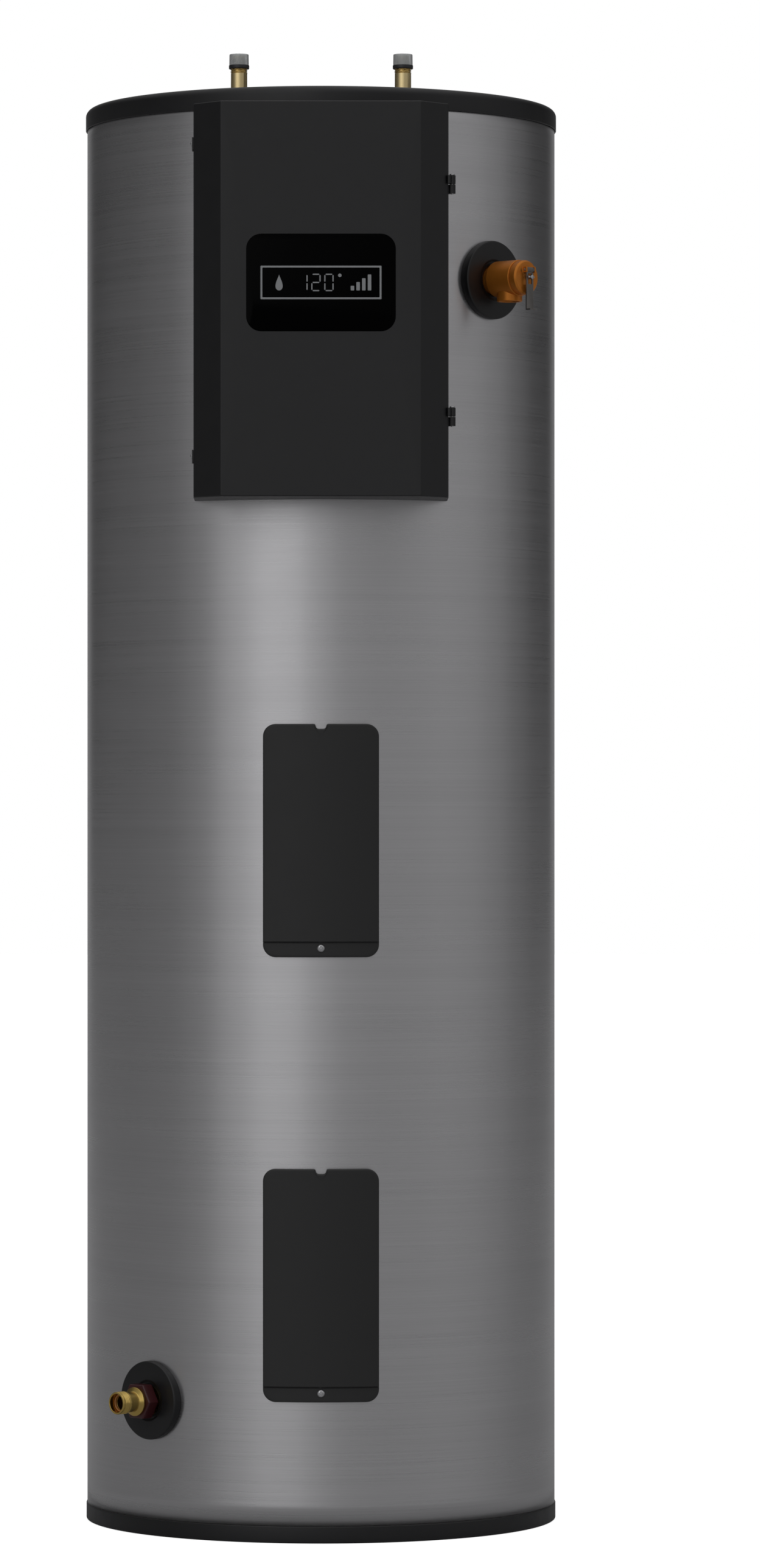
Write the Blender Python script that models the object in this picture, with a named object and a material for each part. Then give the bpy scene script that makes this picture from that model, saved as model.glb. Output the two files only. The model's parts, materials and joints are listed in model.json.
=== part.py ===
"""Tank water heater, modelled as the separate pieces it is assembled from.

Units are metres, +Z is up and the front faces -Y. The origin is on the tank's axis where the base pan
meets the floor. The tall shell pieces are turned about that axis, the two valves stand on radial frames
at 45 degrees to either side of the front, and the two element pockets repeat one set of pieces.
"""

import math

import bmesh
import bpy
from mathutils import Matrix, Vector

# Clearances
GAP = 0.0003  # between faces that rest on each other
RUNNING = 0.0003  # between a turning piece and its seat

# Outer shell
JACKET_RADIUS = 0.292
JACKET_WALL = 0.001
BASE_RADIUS = JACKET_RADIUS + 0.0011
BASE_HEIGHT = 0.0206
BASE_FLOOR = 0.004
BASE_RING_WIDTH = 0.015
LID_TOP = 1.757
LID_SKIRT_BOTTOM = LID_TOP - 0.026
LID_WALL = 0.0016
LID_CORNER = 0.009
JACKET_LAP = 0.014  # how far the jacket runs up inside the lid's skirt
SHELL_SEGMENTS = 64

# Tank and insulation
TANK_RADIUS = JACKET_RADIUS - 0.050
TANK_WALL = 0.003
TANK_SHOULDER = LID_TOP - 0.127
TANK_DOME = 0.060
TANK_FLOOR_RIM = 0.090
TANK_FLOOR_SAG = 0.045
TANK_SEGMENTS = 32
DOME_STEPS = 5
FOAM_CLEARANCE = 0.0005
FOAM_TOP_CLEARANCE = 0.0045

# Water connections
NIPPLE_SPACING = 0.205
NIPPLE_RADIUS = 0.01065
NIPPLE_BORE = 0.008
NIPPLE_TOP = LID_TOP + 0.0695
PROTECTOR_RADIUS = NIPPLE_RADIUS + 0.00205
PROTECTOR_WALL = 0.0016
PROTECTOR_BOTTOM = NIPPLE_TOP - 0.0162
PROTECTOR_TOP = NIPPLE_TOP + 0.002
DIP_TUBE_RADIUS = 0.0075
DIP_TUBE_WALL = 0.0012
DIP_TUBE_END = 0.240
ANODE_OFFSET = 0.115
ANODE_RADIUS = 0.0095
ANODE_LENGTH = 1.05

# Control box
BOX_TOP = LID_SKIRT_BOTTOM - 0.001
BOX_BOTTOM = BOX_TOP - 0.472
BOX_HALF_WIDTH = 0.1528
BOX_FRONT_HALF_WIDTH = 0.120
BOX_FRONT = JACKET_RADIUS + 0.075
BOX_CHAMFER_BACK = JACKET_RADIUS + 0.0415
BOX_SPLIT = JACKET_RADIUS + 0.038
BOX_BACK_PLATE = JACKET_RADIUS + 0.0035
BOX_WALL = 0.002
WINDOW_WIDTH = 0.178
WINDOW_HEIGHT = 0.116
WINDOW_CORNER = 0.018
WINDOW_HEIGHT_CENTRE = BOX_TOP - 0.217
BOARD_HEIGHT = WINDOW_HEIGHT_CENTRE - 0.013
CONTACTOR_HEIGHT = WINDOW_HEIGHT_CENTRE + 0.007
TERMINAL_HEIGHT = WINDOW_HEIGHT_CENTRE + 0.097
LENS_THICKNESS = 0.003
LENS_PROUD = 0.0004
HINGE_HEIGHTS = {"upper": BOX_TOP - 0.0965, "lower": BOX_TOP - 0.375}
HINGE_RADIUS = 0.004
HINGE_LENGTH = 0.022
HINGE_PIN_RADIUS = 0.0015
DOOR_SCREW_HEIGHTS = {"upper": BOX_TOP - 0.048, "lower": BOX_TOP - 0.4225}
DOOR_TAB_LENGTH = 0.012
DOOR_TAB_HEIGHT = 0.016
DOOR_TAB_WALL = 0.0015
DOOR_SCREW_RADIUS = 0.0018
DOOR_SCREW_HEAD = 0.0035

# Element pockets
POCKET_HEIGHTS = {"upper": 0.847, "lower": 0.311}
COVER_WIDTH = 0.140
COVER_HEIGHT = 0.281
COVER_CORNER = 0.015
COVER_PROUD = 0.008
COVER_WALL = 0.002
COVER_RIM = 0.0025
COVER_TAB_HEIGHT = 0.018
COVER_TAB_PROUD = 0.005
NOTCH_WIDTH = 0.013
NOTCH_DEPTH = 0.006
COVER_SCREW_RISE = 0.011
COVER_SCREW_RADIUS = 0.0022
COVER_SCREW_HEAD = 0.005
COVER_SCREW_HEAD_HEIGHT = 0.0025
OPENING_WIDTH = COVER_WIDTH - 0.036
OPENING_HEIGHT = COVER_HEIGHT - 0.045
SHROUD_WALL = 0.008
PAD_THICKNESS = 0.019
PAD_CLEARANCE = 0.0015
ELEMENT_DROP = 0.058
ELEMENT_BOSS_RADIUS = 0.030
ELEMENT_BOSS_PROUD = 0.008
ELEMENT_SHANK_RADIUS = 0.0162
ELEMENT_HEX_RADIUS = 0.022
ELEMENT_HEX_HEIGHT = 0.009
ELEMENT_LENGTH = 0.290
ELEMENT_ROD_RADIUS = 0.004
ELEMENT_ROD_SPREAD = 0.009
GASKET_THICKNESS = 0.0025
ELEMENT_HEAD_RADIUS = 0.0135
ELEMENT_HEAD_HEIGHT = 0.006
THERMOSTAT_RISE = 0.055
THERMOSTAT_WIDTH = 0.046
THERMOSTAT_HEIGHT = 0.062
THERMOSTAT_DEPTH = 0.016
CLIP_MARGIN = 0.007
CLIP_WALL = 0.0012
DIAL_RADIUS = 0.0085
DIAL_HEIGHT = 0.005
DIAL_DROP = 0.010
RESET_RISE = 0.018
RESET_RADIUS = 0.0045
RESET_SHANK = 0.002
RESET_RECESS = 0.0045

# Wiring
HARNESS_RADIUS = 0.0035
HARNESS_TUNNEL = 0.0055
HARNESS_X = 0.030
HARNESS_DEPTH = JACKET_RADIUS - 0.0345
HARNESS_ENTRY = BOX_TOP - 0.070
HARNESS_BEND = 0.030
GROMMET_RADIUS = 0.009
INLET_RADIUS = 0.0111  # trade-size 1/2 conduit opening
INLET_DEPTH = JACKET_RADIUS - 0.057
INLET_FLANGE = 0.0165
SUPPLY_ENTRY = BOX_TOP - 0.035

# Valves
VALVE_AZIMUTH = math.radians(45)
DRAIN_SHANK = 0.013
PORT_RADIUS = DRAIN_SHANK + GAP
PORT_BOSS_RADIUS = 0.020
PORT_BOSS_PROUD = 0.010
VALVE_HOLE = 0.019
VALVE_TUNNEL = 0.0215
ESCUTCHEON_RADIUS = 0.0478
ESCUTCHEON_PROUD = 0.007
ESCUTCHEON_BORE = 0.0185
RELIEF_HEIGHT = LID_TOP - 0.228
RELIEF_RADIUS = 0.022
RELIEF_LENGTH = 0.050
RELIEF_CHAMBER = 0.0150
RELIEF_INLET = 0.009
RELIEF_OUTLET_OFFSET = 0.032
RELIEF_OUTLET_DROP = 0.028
RELIEF_OUTLET_RADIUS = 0.0155
RELIEF_OUTLET_BORE = 0.0120
RELIEF_STEM_RADIUS = 0.0025
RELIEF_LIFT = 0.0052
BONNET_HEIGHT = 0.011
LEVER_PIVOT_RISE = 0.009
LEVER_WIDTH = 0.012
LEVER_WALL = 0.0015
LEVER_DROP = 0.040
LEVER_PIN_RADIUS = 0.0015
DRAIN_HEIGHT = 0.165
DRAIN_BORE = 0.009
DRAIN_LENGTH = 0.059
COLLAR_BACK = 0.010
COLLAR_LENGTH = 0.016
COLLAR_RADIUS = 0.0235
COLLAR_BORE = DRAIN_SHANK + 0.0013
SPOUT_RADIUS = 0.0138
SPOUT_MOUTH = 0.0113
SPOUT_MOUTH_DEPTH = 0.010
PLUG_LIFT = 0.004

MATERIALS = {
    "stainless": ((0.36, 0.36, 0.37), 0.32, 1.0),
    "black_plastic": ((0.016, 0.016, 0.018), 0.45, 0.0),
    "cover_plastic": ((0.022, 0.022, 0.022), 0.5, 0.0),
    "gloss_black": ((0.002, 0.002, 0.002), 0.08, 0.0),
    "enamelled_steel": ((0.10, 0.11, 0.14), 0.4, 0.6),
    "foam": ((0.72, 0.60, 0.33), 0.9, 0.0),
    "glass_wool": ((0.80, 0.66, 0.35), 0.95, 0.0),
    "brass": ((0.55, 0.38, 0.15), 0.3, 1.0),
    "bronze": ((0.36, 0.17, 0.04), 0.35, 1.0),
    "clear_plastic": ((0.22, 0.22, 0.22), 0.35, 0.0),
    "white_plastic": ((0.75, 0.75, 0.72), 0.5, 0.0),
    "zinc_steel": ((0.55, 0.55, 0.56), 0.35, 1.0),
    "anode_metal": ((0.45, 0.45, 0.47), 0.6, 1.0),
    "rubber": ((0.02, 0.02, 0.02), 0.8, 0.0),
    "bakelite": ((0.05, 0.035, 0.03), 0.4, 0.0),
    "red_plastic": ((0.35, 0.02, 0.02), 0.4, 0.0),
    "collar_plastic": ((0.10, 0.018, 0.018), 0.4, 0.0),
    "circuit_board": ((0.02, 0.13, 0.05), 0.5, 0.0),
    "wire": ((0.45, 0.03, 0.03), 0.5, 0.0),
    "amber_rubber": ((0.45, 0.20, 0.07), 0.6, 0.0),
}

TO_X = Matrix.Rotation(math.radians(90), 4, "Y")  # carries +Z to +X
TO_FRONT = Matrix.Rotation(math.radians(90), 4, "X")  # carries +Z to -Y


# Making objects


def clear_scene():
    for obj in list(bpy.data.objects):
        bpy.data.objects.remove(obj, do_unlink=True)


def material(name):
    if name in bpy.data.materials:
        return bpy.data.materials[name]
    color, roughness, metallic = MATERIALS[name]
    made = bpy.data.materials.new(name)
    made.use_nodes = True
    shader = made.node_tree.nodes["Principled BSDF"]
    shader.inputs["Base Color"].default_value = (*color, 1)
    shader.inputs["Roughness"].default_value = roughness
    shader.inputs["Metallic"].default_value = metallic
    return made


def add(name, shape, finish, parent=None):
    """An object from a bmesh, facing out, with its material."""
    bmesh.ops.recalc_face_normals(shape, faces=shape.faces)
    mesh = bpy.data.meshes.new(name)
    shape.to_mesh(mesh)
    shape.free()
    mesh.materials.append(material(finish))
    mesh.shade_smooth()
    mesh.set_sharp_from_angle(angle=math.radians(35))
    obj = bpy.data.objects.new(name, mesh)
    bpy.context.collection.objects.link(obj)
    obj.parent = parent
    return obj


def tool(name, shape, parent=None):
    """A helper solid that cuts or joins another and isn't a piece itself."""
    obj = add(name, shape, "white_plastic", parent)
    obj.hide_render = True
    obj.display_type = "WIRE"
    return obj


def combine(obj, operation, *tools):
    """Adds the tools to the object's last Boolean if it does the same, so that one exact step takes them all."""
    last = obj.modifiers[-1] if obj.modifiers else None
    if last is None or last.operation != operation:
        last = obj.modifiers.new(operation.lower(), "BOOLEAN")
        last.operation = operation
        last.solver = "EXACT"
        last.operand_type = "COLLECTION"
        last.collection = bpy.data.collections.new(f"{obj.name}_{len(obj.modifiers)}")
        bpy.context.scene.collection.children.link(last.collection)
    for other in tools:
        if other.name not in last.collection.objects:
            last.collection.objects.link(other)
    return obj


def cut(obj, *tools):
    return combine(obj, "DIFFERENCE", *tools)


def join(obj, *tools):
    return combine(obj, "UNION", *tools)


def keep(obj, *tools):
    return combine(obj, "INTERSECT", *tools)


def radial_frame(name, azimuth, height):
    """An empty whose +X points away from the tank at an azimuth, counted from the front towards +X."""
    empty = bpy.data.objects.new(name, None)
    bpy.context.collection.objects.link(empty)
    empty.location = (0, 0, height)
    empty.rotation_euler = (0, 0, azimuth - math.radians(90))
    return empty


# Shapes


def turned(profile, segments, turn=None):
    """A solid turned about Z from a closed outline of (radius, height); radius 0 is a pole."""
    shape = bmesh.new()
    angles = [2 * math.pi * (k + 0.5) / segments for k in range(segments)]
    rings = []
    for radius, height in profile:
        if radius < 1e-9:
            rings.append([shape.verts.new((0, 0, height))])
        else:
            rings.append(
                [shape.verts.new((radius * math.cos(a), radius * math.sin(a), height)) for a in angles]
            )
    for ring, after in zip(rings, rings[1:] + rings[:1]):
        if len(ring) == len(after) == 1:
            continue
        for k in range(segments):
            m = (k + 1) % segments
            corners = (
                ring[k % len(ring)],
                ring[m % len(ring)],
                after[m % len(after)],
                after[k % len(after)],
            )
            shape.faces.new(list(dict.fromkeys(corners)))
    if turn is not None:
        shape.transform(turn)
    return shape


def rod(radius, low, high, segments=24, turn=None):
    return turned([(0, low), (radius, low), (radius, high), (0, high)], segments, turn)


def tube(radius, bore, low, high, segments=24, turn=None):
    outline = [(bore, low), (radius, low), (radius, high), (bore, high)]
    return turned(outline, segments, turn)


def block(low, high):
    shape = bmesh.new()
    bmesh.ops.create_cube(shape, size=1)
    low, high = Vector(low), Vector(high)
    size, centre = high - low, (low + high) / 2
    for vert in shape.verts:
        vert.co = Vector(centre[i] + vert.co[i] * size[i] for i in range(3))
    return shape


def prism(outline, low, high, place):
    """An outline of (u, v) carried from low to high; place(u, v, w) puts a point into space."""
    shape = bmesh.new()
    ends = [[shape.verts.new(place(u, v, w)) for u, v in outline] for w in (low, high)]
    for end in ends:
        shape.faces.new(end)
    count = len(outline)
    for k in range(count):
        m = (k + 1) % count
        shape.faces.new((ends[0][k], ends[0][m], ends[1][m], ends[1][k]))
    return shape


def facing_front(u, v, w):
    """Outline in X and Z, carried towards -Y."""
    return (u, -w, v)


def upright(u, v, w):
    """Outline in X and Y, carried up."""
    return (u, v, w)


def arc(centre, radius, start, end, steps):
    """Points on an arc, with angles in degrees."""
    angles = [math.radians(start + (end - start) * k / steps) for k in range(steps + 1)]
    return [(centre[0] + radius * math.cos(a), centre[1] + radius * math.sin(a)) for a in angles]


def rounded_rectangle(width, height, radius, centre=(0, 0), steps=4):
    x, z = width / 2 - radius, height / 2 - radius
    corners = [(x, -z, -90), (x, z, 0), (-x, z, 90), (-x, -z, 180)]
    points = []
    for cx, cz, start in corners:
        points += arc((centre[0] + cx, centre[1] + cz), radius, start, start + 90, steps)
    return points


def hexagon(radius, low, high, turn):
    return turned([(0, low), (radius, low), (radius, high), (0, high)], 6, turn)


# Shell


def make_base_pan():
    inner = BASE_RADIUS - BASE_RING_WIDTH
    outline = [
        (0, 0),
        (BASE_RADIUS - 0.0015, 0),
        (BASE_RADIUS, 0.0015),
        (BASE_RADIUS, BASE_HEIGHT),
        (inner, BASE_HEIGHT),
        (inner, BASE_FLOOR),
        (0, BASE_FLOOR),
    ]
    return add("base_pan", turned(outline, SHELL_SEGMENTS), "black_plastic")


def make_jacket():
    low = BASE_HEIGHT + GAP
    high = LID_SKIRT_BOTTOM + JACKET_LAP
    shape = tube(JACKET_RADIUS, JACKET_RADIUS - JACKET_WALL, low, high, SHELL_SEGMENTS)
    return add("jacket", shape, "stainless")


def make_top_lid():
    outer = JACKET_RADIUS + GAP + LID_WALL
    centre = (outer - LID_CORNER, LID_TOP - LID_CORNER)
    outline = [(0, LID_TOP)]
    outline += reversed(arc(centre, LID_CORNER, 0, 90, 5))
    outline += [(outer, LID_SKIRT_BOTTOM), (outer - LID_WALL, LID_SKIRT_BOTTOM)]
    outline += arc(centre, LID_CORNER - LID_WALL, 0, 90, 5)
    outline += [(0, LID_TOP - LID_WALL)]
    lid = add("top_lid", turned(outline, SHELL_SEGMENTS), "black_plastic")
    for side, x in nipple_places():
        hole = rod(NIPPLE_RADIUS + GAP, LID_TOP - 0.01, LID_TOP + 0.01)
        hole.transform(Matrix.Translation((x, 0, 0)))
        cut(lid, tool(f"cut_lid_{side}", hole))
    cut(lid, inlet_tool("cut_lid_inlet", LID_TOP - 0.01, LID_TOP + 0.01))
    return lid


def nipple_places():
    return (("hot", -NIPPLE_SPACING / 2), ("cold", NIPPLE_SPACING / 2))


def inlet_tool(name, low, high):
    """The supply cable's way down from the lid."""
    hole = rod(INLET_RADIUS + BOX_WALL, low, high)
    hole.transform(Matrix.Translation((0, -INLET_DEPTH, 0)))
    return tool(name, hole)


def cut_supply_way():
    """The supply cable's way forward, through foam, jacket and back plate, into the control box."""
    hole = rod(INLET_RADIUS, INLET_DEPTH, BOX_BACK_PLATE + 0.01, turn=TO_FRONT)
    hole.transform(Matrix.Translation((0, 0, SUPPLY_ENTRY)))
    way = tool("cut_supply_way", hole)
    for name in ("foam_insulation", "jacket", "control_box_base"):
        cut(bpy.data.objects[name], way)


def tank_outline(outset, low, floor_outset):
    """The tank's body as one solid outline, grown by outset, from a lower edge or a sagging floor."""
    radius = TANK_RADIUS + outset
    dome = TANK_DOME + outset
    steps = DOME_STEPS
    points = [(0, TANK_SHOULDER + dome)]
    for k in range(1, steps + 1):
        angle = math.radians(90 * (1 - k / steps))
        points.append((radius * math.cos(angle), TANK_SHOULDER + dome * math.sin(angle)))
    if floor_outset is None:
        return points + [(radius, low), (0, low)]
    sag = TANK_FLOOR_RIM - TANK_FLOOR_SAG
    for k in range(steps):
        angle = math.radians(90 * k / steps)
        points.append((radius * math.cos(angle), TANK_FLOOR_RIM - floor_outset - sag * math.sin(angle)))
    return points + [(0, TANK_FLOOR_SAG - floor_outset)]


def make_inner_tank():
    """Shell with a domed head, a sagging floor and a skirt that stands on the base pan."""
    tank = add(
        "inner_tank",
        turned(tank_outline(0, BASE_FLOOR + GAP, None), TANK_SEGMENTS),
        "enamelled_steel",
    )
    for name, frame in valve_frames().items():
        boss = rod(
            PORT_BOSS_RADIUS,
            TANK_RADIUS - TANK_WALL,
            TANK_RADIUS + PORT_BOSS_PROUD,
            turn=TO_X,
        )
        join(tank, tool(f"boss_{name}", boss, frame))
    for name, height in POCKET_HEIGHTS.items():
        boss = rod(
            ELEMENT_BOSS_RADIUS,
            TANK_RADIUS - 2 * TANK_WALL,
            TANK_RADIUS + ELEMENT_BOSS_PROUD,
            turn=TO_FRONT,
        )
        boss.transform(Matrix.Translation((0, 0, height - ELEMENT_DROP)))
        join(tank, tool(f"boss_{name}_element", boss))
    hollow = turned(tank_outline(-TANK_WALL, 0, -TANK_WALL), TANK_SEGMENTS)
    skirt_radius = TANK_RADIUS - TANK_WALL
    sag = TANK_FLOOR_RIM - TANK_FLOOR_SAG
    under = [(0, TANK_FLOOR_SAG)]
    for k in range(DOME_STEPS):
        angle = math.radians(90 * (DOME_STEPS - 1 - k) / DOME_STEPS)
        under.append((skirt_radius * math.cos(angle), TANK_FLOOR_RIM - sag * math.sin(angle)))
    under += [(skirt_radius, 0), (0, 0)]
    cut(tank, tool("cut_tank_hollow", hollow))
    cut(tank, tool("cut_tank_skirt", turned(under, TANK_SEGMENTS)))
    for name, frame in valve_frames().items():
        port = rod(PORT_RADIUS, TANK_RADIUS - 0.02, TANK_RADIUS + 0.02, turn=TO_X)
        cut(tank, tool(f"cut_port_{name}", port, frame))
    for name, height in POCKET_HEIGHTS.items():
        port = rod(ELEMENT_SHANK_RADIUS + GAP, TANK_RADIUS - 0.02, TANK_RADIUS + 0.02, turn=TO_FRONT)
        port.transform(Matrix.Translation((0, 0, height - ELEMENT_DROP)))
        cut(tank, tool(f"cut_port_{name}_element", port))
    for side, x in nipple_places():
        port = rod(NIPPLE_RADIUS + GAP, TANK_SHOULDER, LID_TOP)
        port.transform(Matrix.Translation((x, 0, 0)))
        cut(tank, tool(f"cut_port_{side}", port))
    port = rod(ANODE_RADIUS + GAP, TANK_SHOULDER, LID_TOP)
    port.transform(Matrix.Translation((0, ANODE_OFFSET, 0)))
    cut(tank, tool("cut_port_anode", port))
    return tank


def make_foam():
    top = LID_TOP - LID_WALL - FOAM_TOP_CLEARANCE
    outer = JACKET_RADIUS - JACKET_WALL - FOAM_CLEARANCE
    foam = add("foam_insulation", rod(outer, BASE_HEIGHT + GAP, top, SHELL_SEGMENTS), "foam")
    body = turned(tank_outline(FOAM_CLEARANCE, 0, None), TANK_SEGMENTS)
    cut(foam, tool("cut_foam_tank", body))
    for name, height in POCKET_HEIGHTS.items():
        half = (OPENING_WIDTH / 2 + SHROUD_WALL + GAP, OPENING_HEIGHT / 2 + SHROUD_WALL + GAP)
        room = block(
            (-half[0], -JACKET_RADIUS, height - half[1]), (half[0], -0.1, height + half[1])
        )
        cut(foam, tool(f"cut_foam_{name}", room))
    for name, frame in valve_frames().items():
        tunnel = rod(VALVE_TUNNEL, TANK_RADIUS - 0.02, JACKET_RADIUS, turn=TO_X)
        cut(foam, tool(f"cut_foam_{name}", tunnel, frame))
    for side, x in nipple_places():
        hole = rod(NIPPLE_RADIUS + FOAM_CLEARANCE, TANK_SHOULDER, LID_TOP)
        hole.transform(Matrix.Translation((x, 0, 0)))
        cut(foam, tool(f"cut_foam_{side}", hole))
    recess = rod(ANODE_RADIUS * 2 + 0.004, TANK_SHOULDER, LID_TOP)
    recess.transform(Matrix.Translation((0, ANODE_OFFSET, 0)))
    cut(foam, tool("cut_foam_anode", recess))
    cut(foam, inlet_tool("cut_foam_inlet", SUPPLY_ENTRY - INLET_RADIUS, LID_TOP))
    return foam


# Water connections


def make_connections():
    for side, x in nipple_places():
        place = Matrix.Translation((x, 0, 0))
        low = TANK_SHOULDER + TANK_DOME - 0.012
        barrel = tube(NIPPLE_RADIUS, NIPPLE_BORE, low, NIPPLE_TOP)
        barrel.transform(place)
        add(f"{side}_nipple", barrel, "brass")
        sleeve = tube(
            PROTECTOR_RADIUS, PROTECTOR_RADIUS - PROTECTOR_WALL, PROTECTOR_BOTTOM, PROTECTOR_TOP
        )
        sleeve.transform(place)
        add(f"{side}_thread_protector", sleeve, "clear_plastic")
    cold_x = dict(nipple_places())["cold"]
    dip = tube(DIP_TUBE_RADIUS, DIP_TUBE_RADIUS - DIP_TUBE_WALL, DIP_TUBE_END, LID_TOP, 16)
    dip.transform(Matrix.Translation((cold_x, 0, 0)))
    add("dip_tube", dip, "white_plastic")


def make_anode():
    """Sacrificial rod under a hexagonal plug on the tank's head."""
    crown = ellipse_height(ANODE_OFFSET - ANODE_RADIUS * 2)
    head = crown + 0.002
    outline = [
        (0, head - ANODE_LENGTH),
        (ANODE_RADIUS, head - ANODE_LENGTH),
        (ANODE_RADIUS, head + 0.004),
        (0, head + 0.004),
    ]
    anode = add("anode_rod", turned(outline, 16), "anode_metal")
    plug = hexagon(ANODE_RADIUS * 1.9, head, head + 0.014, Matrix.Identity(4))
    join(anode, tool("anode_plug", plug))
    anode.location = (0, ANODE_OFFSET, 0)
    bpy.data.objects["anode_plug"].location = anode.location
    return anode


def ellipse_height(offset):
    """Height of the tank's head at a distance from the axis."""
    return TANK_SHOULDER + TANK_DOME * math.sqrt(1 - (offset / TANK_RADIUS) ** 2)


# Control box


def box_outline(inset, back):
    """Plan of the control box, inset evenly, as (x, depth) with depth towards the front."""
    slope = math.tan(math.atan2(BOX_FRONT - BOX_CHAMFER_BACK, BOX_HALF_WIDTH - BOX_FRONT_HALF_WIDTH) / 2)
    front = BOX_FRONT - inset
    side = BOX_HALF_WIDTH - inset
    corner = BOX_FRONT_HALF_WIDTH - inset * slope
    chamfer = BOX_CHAMFER_BACK - inset * math.tan(math.radians(45) - math.atan(slope))
    half = [(side, back), (side, chamfer), (corner, front)]
    return half + [(-x, depth) for x, depth in reversed(half)]


def box_prism(inset, back, low, high):
    outline = [(x, -depth) for x, depth in box_outline(inset, back)]
    return prism(outline, low, high, upright)


def hinge_axis():
    return BOX_HALF_WIDTH + HINGE_RADIUS + 2 * GAP


def knuckle(low, high, towards_front):
    """Half a hinge: a barrel on the hinge axis, and the same barrel's web into the wall beside it."""
    barrel = rod(HINGE_RADIUS, low, high, 16)
    barrel.transform(Matrix.Translation((hinge_axis(), -BOX_SPLIT, 0)))
    depth = 0.008 if towards_front else -0.008
    near, far = sorted((-BOX_SPLIT - depth, -BOX_SPLIT - GAP * (1 if towards_front else -1)))
    web = block((BOX_HALF_WIDTH - BOX_WALL / 2, near, low), (hinge_axis(), far, high))
    return barrel, web


def add_knuckles(obj, owner, towards_front):
    """Joins half of each hinge to its owner, and returns the tools that bore the barrels."""
    bores = []
    for name, centre in HINGE_HEIGHTS.items():
        if towards_front:
            low, high = centre + GAP, centre + HINGE_LENGTH / 2
        else:
            low, high = centre - HINGE_LENGTH / 2, centre - GAP
        barrel, web = knuckle(low, high, towards_front)
        join(obj, tool(f"knuckle_{owner}_{name}", barrel), tool(f"web_{owner}_{name}", web))
        bore = rod(HINGE_PIN_RADIUS + GAP, low - 0.002, high + 0.002, 16)
        bore.transform(Matrix.Translation((hinge_axis(), -BOX_SPLIT, 0)))
        bores.append(tool(f"bore_{owner}_{name}", bore))
    return bores


def make_box_base():
    """Walls behind the door, closed by a back plate just in front of the jacket."""
    shape = block((-BOX_HALF_WIDTH, -BOX_SPLIT, BOX_BOTTOM), (BOX_HALF_WIDTH, -0.2, BOX_TOP))
    base = add("control_box_base", shape, "black_plastic")
    inner = BOX_HALF_WIDTH - BOX_WALL
    low, high = BOX_BOTTOM + BOX_WALL, BOX_TOP - BOX_WALL
    room = block((-inner, -BOX_FRONT, low), (inner, -BOX_BACK_PLATE, high))
    behind = block((-inner, -BOX_BACK_PLATE + BOX_WALL, low), (inner, -0.1, high))
    body = rod(JACKET_RADIUS + GAP, BOX_BOTTOM - 0.1, BOX_TOP + 0.1, SHELL_SEGMENTS)
    cut(base, *add_knuckles(base, "base", False))
    cut(base, tool("cut_box_room", room), tool("cut_box_behind", behind))
    cut(base, tool("cut_box_jacket", body))
    for name, height in DOOR_SCREW_HEIGHTS.items():
        slot = block(
            (-BOX_HALF_WIDTH - 0.004, -BOX_SPLIT - 0.002, height - DOOR_SCREW_RADIUS - GAP),
            (-inner + 0.002, -BOX_SPLIT + DOOR_TAB_LENGTH / 2 + DOOR_SCREW_RADIUS + GAP,
             height + DOOR_SCREW_RADIUS + GAP),
        )
        cut(base, tool(f"slot_{name}", slot))
    return base


def make_door():
    """Front shell of the control box, with chamfered sides, tabs on the left and hinges on the right."""
    back = BOX_SPLIT + GAP
    door = add("control_door", box_prism(0, back, BOX_BOTTOM, BOX_TOP), "black_plastic")
    for name, height in DOOR_SCREW_HEIGHTS.items():
        tab = block(
            (-BOX_HALF_WIDTH - GAP - DOOR_TAB_WALL, -back - 0.003, height - DOOR_TAB_HEIGHT / 2),
            (-BOX_HALF_WIDTH - GAP, -BOX_SPLIT + DOOR_TAB_LENGTH, height + DOOR_TAB_HEIGHT / 2),
        )
        root = block(
            (-BOX_HALF_WIDTH - GAP - DOOR_TAB_WALL, -back - 0.003, height - DOOR_TAB_HEIGHT / 2),
            (-BOX_HALF_WIDTH + BOX_WALL / 2, -back - 0.0005, height + DOOR_TAB_HEIGHT / 2),
        )
        join(door, tool(f"tab_{name}", tab), tool(f"tab_root_{name}", root))
    hollow = box_prism(BOX_WALL, back - 0.01, BOX_BOTTOM + BOX_WALL, BOX_TOP - BOX_WALL)
    cut(door, *add_knuckles(door, "door", True))
    cut(door, tool("cut_door_hollow", hollow))
    outline = rounded_rectangle(
        WINDOW_WIDTH + 2 * GAP, WINDOW_HEIGHT + 2 * GAP, WINDOW_CORNER, (0, WINDOW_HEIGHT_CENTRE)
    )
    cut(door, tool("cut_window", prism(outline, BOX_FRONT - 0.01, BOX_FRONT + 0.01, facing_front)))
    for name, height in DOOR_SCREW_HEIGHTS.items():
        hole = door_screw_rod(DOOR_SCREW_RADIUS + GAP, 0.004, -0.004)
        hole.transform(Matrix.Translation((0, 0, height)))
        cut(door, tool(f"cut_door_screw_{name}", hole))
    return door


def door_screw_rod(radius, out, into):
    """A cylinder along X through the middle of a door tab, from out of the left wall to inside it."""
    shape = rod(radius, -BOX_HALF_WIDTH - out, -BOX_HALF_WIDTH - into, 12, TO_X)
    shape.transform(Matrix.Translation((0, -BOX_SPLIT + DOOR_TAB_LENGTH / 2, 0)))
    return shape


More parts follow.
